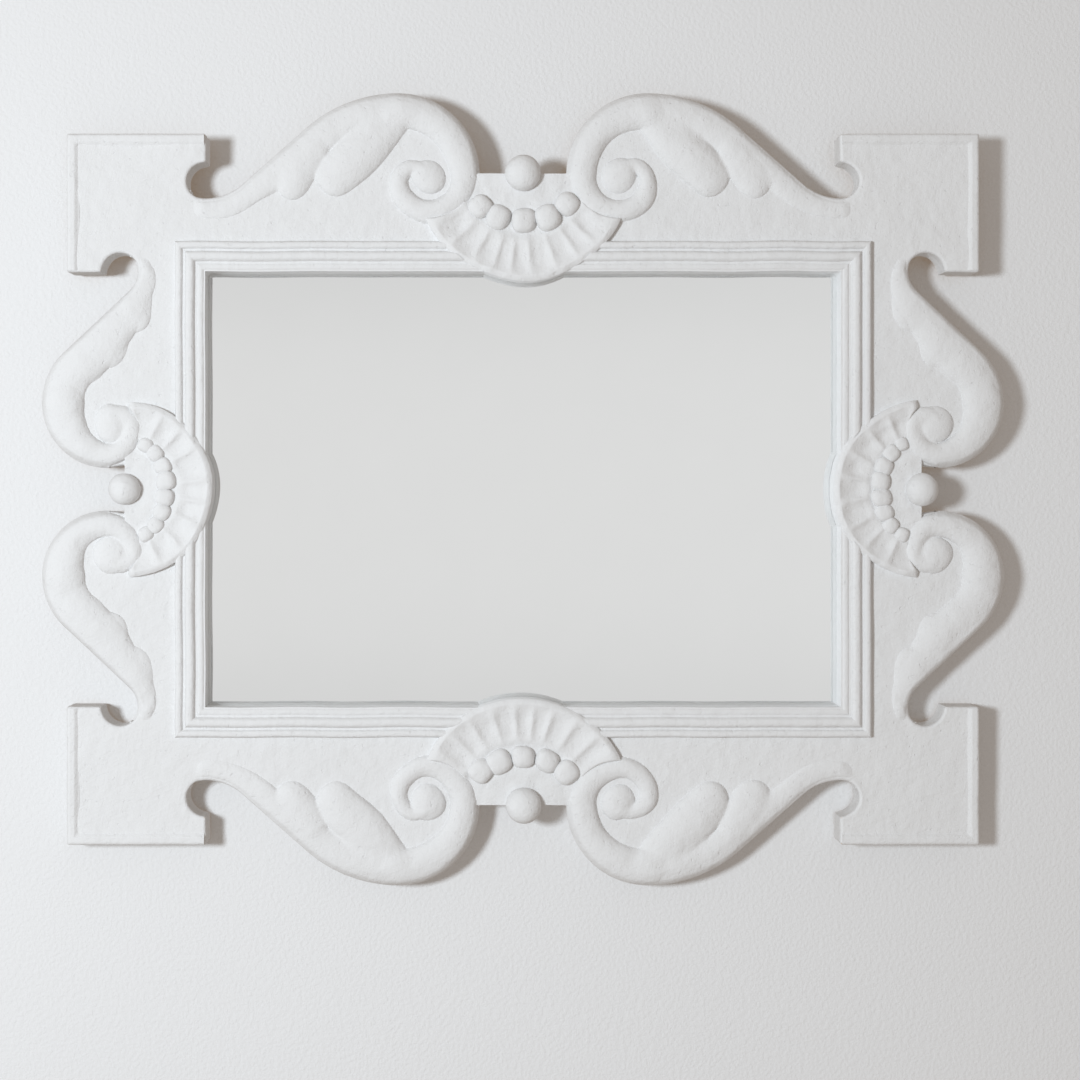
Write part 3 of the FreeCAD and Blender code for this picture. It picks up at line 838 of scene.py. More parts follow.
@dataclass
class Shell:
    """One fluted half shell with its row of beads and its pearl."""

    bay: Bay
    side: Side
    seed: int
    flutes: int = 9
    rays: int = 361
    hub: float = 1 * MM
    ring_step: float = 0.6 * MM
    ring_counts: tuple[int, ...] = (18, 16, 52, 14)
    rim_width: float = 13 * MM
    rim_overlap: float = 6 * MM
    fine_step: float = 0.25 * MM
    flute_depth: float = 5.2 * MM
    flute_sway: float = 0.022
    fan_margin: float = 1.04
    fan_fade: float = 0.05
    lump: float = 0.4 * MM
    lump_pitch: float = 0.026
    uneven: float = 0.008
    hollow: float = 7 * MM
    hollow_fade: float = 4 * MM
    tip_fade: float = 0.09
    seat_fade: float = 10 * MM
    drop: float = 2 * MM
    floor: float = 11.2 * MM
    tuck: float = 1 * MM
    bead_sag: float = 0.08
    bead_lift: float = 3.6 * MM
    bead_fullness: float = 1.1
    bead_variety: float = 0.06
    bead_slip: float = 0.012
    bead_stray: float = 0.8 * MM
    bead_seeds: int = 31
    pearl_seed: int = 77

    @property
    def seat(self) -> tuple[float, float]:
        """The inner and the outer radius of the beads' seat."""
        return self.bay.bead_arc - self.bay.bead_radius, self.bay.bead_arc + self.bay.bead_radius

    @property
    def rim(self) -> float:
        """The radius at which the raised rim begins."""
        return self.bay.shell_radius - self.rim_width

    def rings(self) -> np.ndarray:
        """Radii of the grid's rings, in four runs: disc, beads' seat, fan and raised rim.

        Returns:
            The radii from the hub outwards.
        """
        ends = np.array((*self.seat, self.rim, self.bay.shell_radius))
        starts = (self.hub, *(ends[:-1] + self.ring_step))
        return np.concatenate([np.linspace(*run) for run in zip(starts, ends, self.ring_counts)])

    def profile(self, ring: np.ndarray) -> np.ndarray:
        """Height above the board: straight runs between marks in millimetres, softened with a bell curve.

        Args:
            ring: radii.

        Returns:
            One height for each radius.
        """
        low, high, rim, reach = (radius / MM for radius in (*self.seat, self.rim, self.bay.shell_radius))
        disc = ((0, 5.5), (low - 2, 5.5))
        seat = ((low + 2, 4.2), (high - 3, 4.5))
        fan = ((high + 4, 8.5), (rim - 4, 12.4))
        raised = ((rim + 3, 12.6), (reach - 6, 12.2), (reach - 2, 10.4), (reach, 7.5))
        marks = np.array(disc + seat + fan + raised) * MM
        fine = np.arange(0, self.bay.shell_radius + self.fine_step, self.fine_step)
        return np.interp(ring, fine, soften(np.interp(fine, *marks.T), spread=6))

    def scoop(self, turn: np.ndarray, ring: np.ndarray) -> np.ndarray:
        """The flutes, from 0 to 1: (1 - across^3) sin(pi within^1.2)^0.75, softened from ray to ray.

        Args:
            turn: the rays' angles.
            ring: radii.

        Returns:
            Rays by rings.
        """
        sway = self.flute_sway * Waves(self.seed, pitch=1.1).at(turn[:, None])
        share = (turn + sway) / (2 * self.bay.fan_spread) * self.flutes
        across = np.abs(2 * (share - np.round(share)))
        within = np.clip((ring - self.seat[1]) / (self.rim + self.rim_overlap - self.seat[1]), 0, 1)
        fade = np.clip((self.bay.fan_spread * self.fan_margin - np.abs(turn)) / self.fan_fade, 0, 1)
        deep = (1 - across ** 3)[:, None] * np.clip(np.sin(math.pi * within ** 1.2), 0, 1) ** 0.75
        return soften_loop(deep * fade[:, None], reach=6, spread=2.4)

    def room(self, a: np.ndarray, b: np.ndarray, turn: np.ndarray, ring: np.ndarray) -> np.ndarray:
        """1 on the shell, falling in a quarter round to 0 where the volutes lie and past the fan's tips.

        Args:
            a: places along the side, rays by rings.
            b: places out from the centre.
            turn: the rays' angles.
            ring: radii.

        Returns:
            Rays by rings.
        """
        bay = self.bay
        gap = np.hypot(np.abs(a) - bay.coil_a, b - bay.volute_b) - bay.first_radius
        clear = np.clip((gap + self.hollow) / self.hollow_fade, 0, 1)
        beyond = np.clip((np.abs(turn)[:, None] - bay.fan_tip) / self.tip_fade, 0, 1)
        outer = np.clip((ring - self.seat[1]) / self.seat_fade, 0, 1)
        return quarter_round(np.minimum(clear, 1 - outer * beyond))

    def surface(self) -> np.ndarray:
        """Rays and rings about the middle of the flat edge, with flutes, lumps and room for the volutes.

        Returns:
            Rays by rings by (x, y, z).
        """
        turn = np.linspace(-QUARTER, QUARTER, self.rays)
        ring = self.rings()
        wander = self.uneven * Waves(self.seed + 1, pitch=1.3, count=5).at(turn[:, None])
        radius = ring * (1 + wander)[:, None]
        a = radius * np.sin(turn)[:, None]
        b = self.bay.flat - radius * np.cos(turn)[:, None]
        height = self.profile(ring) - self.flute_depth * self.scoop(turn, ring)
        height = height + self.lump * Waves(self.seed + 2, self.lump_pitch).at(np.stack((a, b), -1))
        height = (height + self.drop) * self.room(a, b, turn, ring) - self.drop
        return self.side.place(a, BOARD_FRONT + height, b)

    def beads(self) -> bpy.types.Object:
        """The row of beads, each a little off its place and size, on an arc that bead_sag makes flatter.

        Returns:
            The new piece.
        """
        bay = self.bay
        rng = np.random.default_rng(self.seed + 5)
        solid = Solid()
        last = bay.bead_count - 1
        for count in range(bay.bead_count):
            angle = (count - last / 2) * bay.bead_pitch + rng.normal(0, self.bead_slip)
            reach = bay.bead_arc + rng.normal(0, self.bead_stray)
            taper = bay.bead_taper * (0.5 - abs(2 * count / last - 1))
            size = self.bead_fullness + rng.uniform(-self.bead_variety, self.bead_variety) + taper
            drop = reach * (math.cos(angle) + self.bead_sag * (1 - 2 * math.cos(angle) ** 2))
            along = reach * (1 + self.bead_sag) * math.sin(angle)
            spot = (along, BOARD_FRONT + self.bead_lift, bay.flat - drop)
            bead = Ball(self.side, spot, bay.bead_radius * size, self.seed * self.bead_seeds + count,
                        uneven=0.05, power=2.6, turn_by=angle, depth=0.84)
            bead.add_to(solid)
        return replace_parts(solid.build("plaster_beads_" + self.side.label), "beads_" + self.side.label)

    def pearl(self) -> bpy.types.Object:
        """The large ball on the flat edge.

        Returns:
            The new piece.
        """
        low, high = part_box("pearl_" + self.side.label)
        width = high.z - low.z if self.side.is_long else high.x - low.x
        solid = Solid()
        spot = (0.0, -(low.y + high.y) / 2, self.bay.flat)
        pearl = Ball(self.side, spot, self.bay.pearl_share * width / 2, self.seed + self.pearl_seed,
                     uneven=0.035, depth=0.92)
        pearl.add_to(solid)
        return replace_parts(solid.build("plaster_pearl_" + self.side.label), "pearl_" + self.side.label)

    def build(self) -> list[bpy.types.Object]:
        """Make the shell, its beads and its pearl in place of their solids.

        Returns:
            The three new pieces.
        """
        name = self.side.label
        shell = relief("plaster_shell_" + name, self.surface(), self.floor, self.tuck, sharp=60)
        return [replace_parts(shell, "shell_" + name), self.beads(), self.pearl()]


@dataclass
class Moulding:
    """Half a side's moulding, run along the sight edge from inside the shell to the mitre."""

    bay: Bay
    side: Side
    hand: int
    seed: int
    rows: int = 150
    columns: int = 118
    overhang: float = 1.2 * MM
    width: float = 38 * MM
    bed: float = 6.6 * MM
    slip: tuple[float, float, float] = (4.6 * MM, 5.8 * MM, 8.2 * MM)
    torus: tuple[float, float, float] = (18.0 * MM, 7.5 * MM, 12.4 * MM)
    band: tuple[float, float, float] = (32.2 * MM, 6.0 * MM, 10.6 * MM)
    fullness: float = 2.6
    outer_round: float = 2.6 * MM
    under_shell: float = 5 * MM
    mitre_fade: float = 12.0
    sway: float = 0.3 * MM
    swell: float = 0.18 * MM
    thin_edge: float = 1 * MM
    sink: float = 1.5 * MM

    def profile(self) -> tuple[np.ndarray, np.ndarray]:
        """A slip, a torus and a band on a bed, each height sqrt(1 - |offset / half width|^fullness).

        Returns:
            Widths from the glass outwards, and heights.
        """
        across = np.linspace(-self.overhang, self.width, self.columns)
        rise = np.full_like(across, self.bed)
        for centre, half, height in (self.slip, self.torus, self.band):
            section = np.sqrt(np.clip(1 - np.abs((across - centre) / half) ** self.fullness, 0, 1))
            rise = np.maximum(rise, height * section)
        return across, rise * quarter_round((self.width - across) / self.outer_round)

    def build(self) -> bpy.types.Object:
        """Make the moulding in place of its solid: its profile run from the shell's circle to the mitre.

        Returns:
            The new piece.
        """
        bay = self.bay
        width, rise = self.profile()
        chord = np.sqrt(np.maximum(bay.shell_radius ** 2 - (bay.flat - bay.sight - width) ** 2, 0))
        start = chord - self.under_shell
        share = np.linspace(0, 1, self.rows)[:, None]
        a = start + (bay.corner + width - start) * share
        b = np.broadcast_to(bay.sight + width, a.shape)
        fade = np.clip((1 - share) * self.mitre_fade, 0, 1)
        sway = self.sway * Waves(self.seed, pitch=0.17).at(a[..., None]) * fade
        swell = self.swell * Waves(self.seed + 1, pitch=0.09).at(np.stack((a, b), -1)) * fade
        grid = self.side.place(self.hand * a, BOARD_FRONT + rise + swell * (rise > self.thin_edge), b + sway)
        node = self.side.node("moulding", self.hand)
        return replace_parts(relief("plaster_" + node, grid, BOARD_FRONT - self.sink, 0.0, sharp=40), node)


@dataclass
class CornerBorder:
    """The raised strip on the two outer edges of one block."""

    bay: Bay
    across: int
    up: int
    seed: int
    rows: int = 90
    columns: int = 34
    width: float = 14.5 * MM
    flat: float = 7.5 * MM
    rise: float = 3.4 * MM
    lap: float = 1.7 * MM
    nose: float = 5 * MM
    sway: float = 0.35 * MM
    bed: float = 0.4 * MM
    sink: float = 2 * MM
    tuck: float = 0.6 * MM

    def build(self) -> bpy.types.Object:
        """Make the strip in place of its solid, with a soft mitre at the block's corner.

        Its level top turns over the block's edge in a quarter round and falls to the block in a smooth step.

        Returns:
            The new piece.
        """
        bay = self.bay
        inset = np.linspace(-self.lap, self.width, self.columns)
        lift = self.rise * (1 - smooth_step((inset - self.flat) / (self.width - self.flat)))
        lift -= self.nose * (1 - quarter_round((inset + self.lap) / self.nose))
        run = np.linspace(0, 1, self.rows)[:, None]
        x_leg = bay.corner + (bay.far_block - inset - bay.corner) * run
        z_leg = bay.sight + (bay.block - inset - bay.sight) * run[::-1]
        x = np.concatenate((x_leg, np.broadcast_to(bay.far_block - inset, z_leg.shape)[1:]))
        z = np.concatenate((np.broadcast_to(bay.block - inset, x_leg.shape), z_leg[1:]))
        x, z = soften(x, spread=1), soften(z, spread=1)
        sway = self.sway * Waves(self.seed, pitch=0.07).at(np.stack((x, z), -1))
        grid = np.stack((self.across * x, -(SKIN_FRONT - self.bed + lift + sway), self.up * z), -1)
        ends = ("top" if self.up > 0 else "bottom", "right" if self.across > 0 else "left")
        node = "_".join(("corner_border", *ends))
        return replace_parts(relief("plaster_" + node, grid, BOARD_FRONT - self.sink, self.tuck), node)


@dataclass
class GessoSkin:
    """The white skin over the fronts and edges of the four boards: a pan with a level rim and a window."""

    bays: dict[Side, Bay]
    seed: int
    proud: float = 1.4 * MM
    edge_round: float = 2.4 * MM
    edge_rings: int = 6
    wall_rings: int = 9
    spacing: float = 2.4 * MM
    lip: float = 1.6 * MM
    edge_wave: float = 0.5 * MM
    edge_dip: float = 0.2 * MM
    wall_wave: float = 0.3 * MM
    slow_wave: float = 0.4 * MM
    fine_wave: float = 0.15 * MM
    front_dip: float = 0.7 * MM
    window_margin: float = 0.6 * MM
    window_wall: float = 3 * MM
    window_step: float = 6 * MM
    window_foot: float = 10.4 * MM
    back: float = 0.6 * MM
    sink: float = 2 * MM
    lattice: tuple[float, float] = (6.5 * MM, 5.6 * MM)
    window_clear: float = 4 * MM
    edge_clear: float = 3.2 * MM

    def outline(self) -> np.ndarray:
        """The frame's outline as one closed loop, softened and slightly wavy.

        Returns:
            Its (x, z) points.
        """
        runs = []
        for side, bay in self.bays.items():
            half = bay.half_outline()
            whole = np.concatenate((half[::-1][:-1] * (-1, 1), half))
            runs.append(side.place(whole[:, 0], 0.0, whole[:, 1])[:-1, [0, 2]])
        loop = np.concatenate(runs)
        loop = resample(np.concatenate((loop, loop[:1])), self.spacing)[:-1]
        soft = soften_loop(loop, reach=5, spread=1.5)
        way = outward(soft, reach=1)
        loop = soft + way * np.maximum(((loop - soft) * way).sum(1), 0)[:, None]
        wave = np.maximum(self.edge_wave * Waves(self.seed, pitch=0.07).at(loop), -self.edge_dip)
        return loop + outward(loop, reach=2) * wave[:, None]

    def window(self) -> np.ndarray:
        """The sight opening's edge as a closed loop.

        Returns:
            Its (x, z) points.
        """
        half = np.array((self.bays[Side.RIGHT].sight, self.bays[Side.TOP].sight)) - self.window_margin
        corners = np.array([(-1, -1), (1, -1), (1, 1), (-1, 1), (-1, -1)]) * half
        return resample(corners, self.window_step)[:-1]

    def cap(self, solid: Solid, outer: np.ndarray, inner: np.ndarray, places: np.ndarray, facing: int,
            fill: np.ndarray) -> None:
        """Triangles between the outline and the window, through any points that fill the space between.

        Args:
            solid: the mesh to add to.
            outer: point numbers of the outer loop.
            inner: point numbers of the inner loop.
            places: (x, z) of both loops and the filling, in that order.
            facing: -1 where the cap faces the viewer, 1 where it faces the wall.
            fill: point numbers of the filling.
        """
        inside_only, same_place = 1, 1e-7
        rings = np.arange(len(outer)), np.arange(len(inner)) + len(outer)
        edges = np.concatenate([np.stack((ring, np.roll(ring, -1)), 1) for ring in rings])
        found = delaunay_2d_cdt(places.tolist(), edges.tolist(), [], inside_only, same_place)
        spots, triangles = found[0], np.array(found[2])
        if len(spots) != len(places):
            LOG.warning("the skin's edge crosses itself %d times", len(spots) - len(places))
        triangles = triangles[np.all(triangles < len(places), 1)]
        half = np.abs(places[rings[1]]).max(0)
        triangles = triangles[np.any(np.abs(places[triangles].mean(1)) > half, 1)]
        first, second, third = places[triangles].transpose(1, 0, 2)
        (along, up), (past, over) = (second - first).T, (third - first).T
        wrong = (along * over - up * past) * facing > 0
        triangles[wrong] = triangles[wrong][:, ::-1]
        solid.faces.append(np.concatenate((outer, inner, fill))[triangles])

    def filling(self, loop: np.ndarray) -> np.ndarray:
        """Points on an offset lattice that lie inside the outline and clear of both edges.

        A point is inside where a line from it towards +x crosses the outline an odd number of times.

        Args:
            loop: the outline's (x, z) points.

        Returns:
            The points as (x, z).
        """
        span = np.abs(loop).max(0)
        rows = [np.arange(-reach, reach, step) for reach, step in zip(span, self.lattice)]
        lattice = np.stack(np.meshgrid(*rows, indexing="ij"), -1)
        lattice[:, 1::2, 0] += self.lattice[0] / 2
        spots = lattice.reshape(-1, 2)
        spots = spots[np.any(np.abs(spots) > np.abs(self.window()).max(0) + self.window_clear, 1)]
        after = np.roll(loop, -1, 0)
        run, rise = (after - loop).T
        slant = np.divide(run, rise, out=np.zeros_like(run), where=rise != 0)
        kept = []
        for part in np.array_split(spots, len(rows[0])):
            level = part[:, 1:]
            hit = (loop[:, 1] > level) != (after[:, 1] > level)
            crossings = (hit & (part[:, :1] < loop[:, 0] + slant * (level - loop[:, 1]))).sum(1)
            near = ((part[:, None] - loop) ** 2).sum(-1).min(1)
            kept.append(part[(crossings % 2 == 1) & (near > self.edge_clear ** 2)])
        return np.concatenate(kept)

    def unevenness(self, places: np.ndarray) -> np.ndarray:
        """How far the front swells or dips: slow waves and finer ones, held above a deepest dip."""
        slow, fine = (Waves(self.seed + 4 + k, pitch).at(places) for k, pitch in enumerate((0.12, 0.03)))
        return np.maximum(self.slow_wave * slow + self.fine_wave * fine, -self.front_dip)

    def build(self) -> bpy.types.Object:
        """Make the skin: front cap, rounded edge, outer wall, level return, inner wall and inner cap.

        Returns:
            The new piece.
        """
        loop, window = self.outline(), self.window()
        way = outward(loop, reach=1)
        wide_window = window * (1 + self.window_wall / np.abs(window).max(0))
        solid = Solid()

        def step(offset: float) -> np.ndarray:
            """The outline moved out by an offset."""
            return loop + way * offset

        def ring(path: np.ndarray, height: float) -> np.ndarray:
            """The numbers of new points along a path at one height."""
            return solid.add(np.stack((path[:, 0], np.full(len(path), -height), path[:, 1]), 1))

        shoulder = step(-self.edge_round)
        spots = self.filling(shoulder)
        fill = solid.add(np.stack((spots[:, 0], -SKIN_FRONT - self.unevenness(spots), spots[:, 1]), 1))
        inner_edge = ring(window, SKIN_FRONT)
        rings = [ring(shoulder, SKIN_FRONT)]
        self.cap(solid, rings[0], inner_edge, np.concatenate((shoulder, window, spots)), -1, fill)
        bend = self.edge_round + self.proud
        for turn in np.linspace(0, QUARTER, self.edge_rings)[1:]:
            offset = bend * math.sin(turn) - self.edge_round
            rings.append(ring(step(offset), SKIN_FRONT - bend * (1 - math.cos(turn))))
        levels = np.linspace(SKIN_FRONT - self.edge_round - self.proud, self.back, self.wall_rings)[1:]
        for count, level in enumerate(levels):
            bulge = self.wall_wave * Waves(self.seed + 9 + count, pitch=0.05).at(loop)
            bulge = np.maximum(bulge, -self.edge_dip)[:, None] * (count < len(levels) - 1)
            rings.append(ring(step(self.proud) + way * bulge, level))
        rings.append(ring(step(-self.lip), self.back))
        rings.append(ring(step(-self.lip), BOARD_FRONT - self.sink))
        foot = ring(window, self.window_foot)
        wide = ring(wide_window, self.window_foot)
        deep = ring(wide_window, BOARD_FRONT - self.sink)
        for near, far in chain(zip(rings, rings[1:]), ((foot, inner_edge), (wide, foot), (deep, wide))):
            solid.band(near, far)
        places = np.concatenate((step(-self.lip), wide_window))
        self.cap(solid, rings[-1], deep, places, 1, np.zeros(0, int))
        return solid.build("gesso_skin", sharp=55)


@dataclass
class Screws:
    """A group of countersunk wood screws driven in from the back, each with a slotted head and a thread."""

    node: str
    places: np.ndarray
    radius: float
    length: float
    pitch: float
    seed: int
    proud: float = 0.35 * MM
    sink: float = 0.3 * MM
    slot_half: float = 0.45 * MM
    slot_depth: float = 0.9 * MM
    slot_edge: float = 0.2 * MM
    thread_share: float = 0.3
    tip_share: float = 0.15
    thread_rings: int = 6
    tip_rings: int = 8
    dome_rings: int = 16
    cone_rings: int = 5
    columns: int = 32

    def surface(self, turn: float) -> np.ndarray:
        """One screw about its axis: rings from the head's middle over its rim and cone to the threaded tip.

        The head is a shallow dome, proud (1 - 0.5 (r / R)^2), with a slot sunk across it. The shank's radius
        falls by a share of a triangle wave of (depth / pitch - angle / 2 pi), which is the thread.

        Args:
            turn: which way the slot runs, in radians.

        Returns:
            Rings by columns by (x, y, z), with the head's back at y = 0.
        """
        head = 2 * self.radius
        angle = np.linspace(0, 2 * math.pi, self.columns + 1)
        dome = np.linspace(0.04, 0.97, self.dome_rings) * head
        cone = np.linspace(head, self.radius, self.cone_rings)
        neck = self.sink + head - self.radius
        depth = np.arange(neck, self.length - 3 * self.radius, self.pitch / self.thread_rings)
        point = np.linspace(self.radius, self.tip_share * self.radius, self.tip_rings)[1:]
        shank = np.concatenate((np.full(len(depth), self.radius), point))
        depth = np.concatenate((depth, np.linspace(depth[-1], self.length, self.tip_rings)[1:]))
        radius = np.concatenate((dome, [head], cone, shank))
        level = np.concatenate((self.proud * (1 - 0.5 * (dome / head) ** 2), [0.3 * self.proud],
                                -self.sink - head + cone, -depth))
        wave = np.abs(2 * ((depth[:, None] / self.pitch - angle / (2 * math.pi)) % 1) - 1)
        cut = np.zeros((len(radius), len(angle)))
        start = np.clip((depth - neck) / (2 * self.pitch), 0, 1)[:, None]
        cut[len(radius) - len(depth):] = self.thread_share * wave * start
        across = np.abs(radius[:, None] * np.sin(angle - turn))
        sunk = np.clip((self.slot_half - across) / self.slot_edge + 0.5, 0, 1)
        sunk = sunk * (np.arange(len(radius)) < len(dome))[:, None]
        wide = radius[:, None] * (1 - cut)
        back = level[:, None] - self.slot_depth * sunk
        return np.stack((wide * np.cos(angle), back, wide * np.sin(angle)), -1)

    def build(self) -> bpy.types.Object:
        """Make the group in place of its solids, with each slot turned its own way.

        Returns:
            The new piece.
        """
        solid = Solid()
        turns = np.random.default_rng(self.seed).uniform(0, math.pi, len(self.places))
        for (x, z), turn in zip(self.places, turns):
            rings = self.surface(turn) + (x, 0.0, z)
            index = solid.add(rings[:, :-1])
            solid.grid(np.concatenate((index, index[:, :1]), 1))
            ends = solid.add(rings[[0, -1], :-1].mean(1))
            solid.cone(index[0], ends[0])
            solid.cone(index[-1][::-1], ends[1])
        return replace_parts(solid.build("slotted_" + self.node, sharp=35), self.node)


def spread_out(count: int, reach: float) -> np.ndarray:
    """Evenly spaced places from -reach to reach, half a space in from both ends."""
    return reach * ((2 * np.arange(count) + 1) / count - 1)


def screw_groups() -> list[Screws]:
    """The backing board's screws and the corner laps', with their places worked out from the solids' boxes.

    Returns:
        The two groups.
    """
    thin, thick = 1.75 * MM, 2.0 * MM
    margin = 31 * MM
    along_x, along_z = 4, 3
    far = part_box("backing_screws")[1]
    edge_x, edge_z = far.x - 2 * thin, far.z - 2 * thin
    backing = [(x, side * edge_z) for x in spread_out(along_x, edge_x) for side in (1, -1)]
    backing += [(side * edge_x, z) for z in spread_out(along_z, edge_z) for side in (1, -1)]
    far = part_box("lap_screws")[1]
    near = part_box("backing_board")[1]
    lap = [(across * x, up * z) for across in (1, -1) for up in (1, -1)
           for x in (near.x + margin, far.x - 2 * thick) for z in (near.z + margin, far.z - 2 * thick)]
    return [Screws("backing_screws", np.array(backing), thin, 16 * MM, 1.5 * MM, SCREW_SEED),
            Screws("lap_screws", np.array(lap), thick, 32 * MM, 1.8 * MM, SCREW_SEED + 1)]


class Wire:
    """A shader value that can be used in sums: an output socket and the shader it belongs to."""

    def __init__(self, shader: "Shader", socket: bpy.types.NodeSocket | None) -> None:
        """Keep the shader and the socket."""
        self.shader = shader
        self.socket = socket

    def _maths(self, operation: str, *terms: object) -> "Wire":
        """One Math node on values or wires."""
        return self.shader.node("ShaderNodeMath", {"operation": operation}, dict(enumerate(terms)))

    def __add__(self, other: object) -> "Wire":
        """This plus a value."""
        return self._maths("ADD", self, other)

    def __radd__(self, other: object) -> "Wire":
        """A value plus this."""
        return self._maths("ADD", other, self)

    def __sub__(self, other: object) -> "Wire":
        """This less a value."""
        return self._maths("SUBTRACT", self, other)

    def __rsub__(self, other: object) -> "Wire":
        """A value less this."""
        return self._maths("SUBTRACT", other, self)

    def __mul__(self, other: object) -> "Wire":
        """This times a value."""
        return self._maths("MULTIPLY", self, other)

    def __rmul__(self, other: object) -> "Wire":
        """A value times this."""
        return self._maths("MULTIPLY", other, self)

    def greatest(self, other: object) -> "Wire":
        """The greater of two values."""
        return self._maths("MAXIMUM", self, other)

    def between(self, low: float, high: float) -> "Wire":
        """A smooth step from 0 at low to 1 at high."""
        limits = {0: self, 1: low, 2: high, 3: 0.0, 4: 1.0}
        return self.shader.node("ShaderNodeMapRange", {"interpolation_type": "SMOOTHSTEP"}, limits)


class Shader:
    """The nodes of one material or world."""

    def __init__(self, tree: bpy.types.NodeTree) -> None:
        """Start with an empty tree."""
        self.tree = tree
        tree.nodes.clear()

    def node(self, kind: str, settings: dict, inputs: dict, output: int | str = 0) -> Wire:
        """Make one node.

        Args:
            kind: the node's type.
            settings: properties to set on it.
            inputs: values or wires for its inputs, by name or number.
            output: which output to hand back.

        Returns:
            The output, or an empty wire where the node has none.
        """
        made = self.tree.nodes.new(kind)
        for name, value in settings.items():
            setattr(made, name, value)
        for key, value in inputs.items():
            if isinstance(value, Wire):
                self.tree.links.new(value.socket, made.inputs[key])
            else:
                made.inputs[key].default_value = value
        return Wire(self, made.outputs[output] if len(made.outputs) else None)

    def place(self, scale: tuple[float, float, float] = (1, 1, 1), turn: float = 0.0) -> Wire:
        """Object coordinates, turned about Y and then scaled.

        Args:
            scale: the scale along each axis.
            turn: the turn in degrees.

        Returns:
            The coordinates.
        """
        spot = self.node("ShaderNodeTexCoord", {}, {}, "Object")
        turned = self.node("ShaderNodeMapping", {}, {"Vector": spot, "Rotation": (0, math.radians(turn), 0)})
        return self.node("ShaderNodeMapping", {}, {"Vector": turned, "Scale": scale})

    def noise(self, spot: Wire, scale: float = 1, detail: float = 4, rough: float = 0.5) -> Wire:
        """Cloudy noise from 0 to 1."""
        inputs = {"Vector": spot, "Scale": scale, "Detail": detail, "Roughness": rough}
        return self.node("ShaderNodeTexNoise", {}, inputs)

    def mix(self, factor: Wire, low: Colour | Wire, high: Colour | Wire) -> Wire:
        """A colour between two."""
        return self.node("ShaderNodeMix", {"data_type": "RGBA"}, {0: factor, 6: low, 7: high}, 2)

    def bump(self, layers: list[tuple[Wire, float]]) -> Wire:
        """A normal bent by layers of height.

        Args:
            layers: pairs of a height from 0 to 1 and the depth in metres that it stands for.

        Returns:
            The bent normal.
        """
        normal = {}
        for height, depth in layers:
            inputs = {"Height": height, "Distance": depth, "Strength": 1.0, **normal}
            normal = {"Normal": self.node("ShaderNodeBump", {}, inputs)}
        return normal["Normal"]


@dataclass(frozen=True)
class Finish:
    """One material slot's look: a base colour, its darker tone, a roughness and how metallic it is."""

    slot: str
    base: Colour
    dark: Colour
    rough: float
    metal: float = 0.0
    one_sided: bool = False

    def paint(self, shader: Shader) -> tuple[Wire, Wire | float, Wire]:
        """Colour, roughness and normal, which each finish works out for itself."""
        raise NotImplementedError

    def build(self) -> bpy.types.Material:
        """Make the material, clear from behind where it is one-sided.

        Returns:
            The new material.
        """
        material = bpy.data.materials.new(self.slot)
        material.use_nodes = True
        shader = Shader(material.node_tree)
        colour, rough, normal = self.paint(shader)
        inputs = {"Base Color": colour, "Roughness": rough, "Metallic": self.metal, "Normal": normal}
        surface = shader.node("ShaderNodeBsdfPrincipled", {}, inputs)
        if self.one_sided:
            back = shader.node("ShaderNodeNewGeometry", {}, {}, "Backfacing")
            clear = shader.node("ShaderNodeBsdfTransparent", {}, {})
            surface = shader.node("ShaderNodeMixShader", {}, {0: back, 1: surface, 2: clear})
        shader.node("ShaderNodeOutputMaterial", {}, {"Surface": surface})
        return material


@dataclass(frozen=True)
class Plaster(Finish):
    """Matt white gesso with brush marks, pits and a few worn spots."""

    bare: Colour = (0.66, 0.62, 0.56, 1)

    def paint(self, shader: Shader) -> tuple[Wire, Wire | float, Wire]:
        """Strokes are noise stretched along two slants, pits and worn spots the far ends of finer noises.

        Args:
            shader: where the nodes go.

        Returns:
            The colour, the roughness and the normal.
        """
        plain = shader.place()
        clouds = shader.noise(plain, scale=9)
        strokes = shader.noise(shader.place((45, 300, 420), turn=24), detail=5, rough=0.6)
        cross = shader.noise(shader.place((420, 300, 60), turn=-12), detail=5, rough=0.6)
        brush = strokes * 0.55 + cross * 0.45
        broad = shader.noise(plain, scale=34, detail=3)
        lumps = shader.noise(plain, scale=75, detail=3, rough=0.55)
        grain = shader.noise(plain, scale=520, rough=0.65)
        pits = shader.noise(plain, scale=170, detail=2).between(0.24, 0.36)
        places = shader.noise(plain, scale=28, detail=5, rough=0.7).between(0.66, 0.76)
        worn = places * shader.noise(plain, scale=210, detail=2).between(0.5, 0.62)
        tone = shader.mix(clouds * 0.6 + brush * 0.6, self.dark, self.base)
        normal = shader.bump([(broad, 2.2 * MM), (lumps, 1.4 * MM), (brush, 0.9 * MM), (grain, 0.35 * MM),
                              (pits, 0.4 * MM)])
        return shader.mix(worn * 0.25, tone, self.bare), self.rough + 0.12 * grain, normal


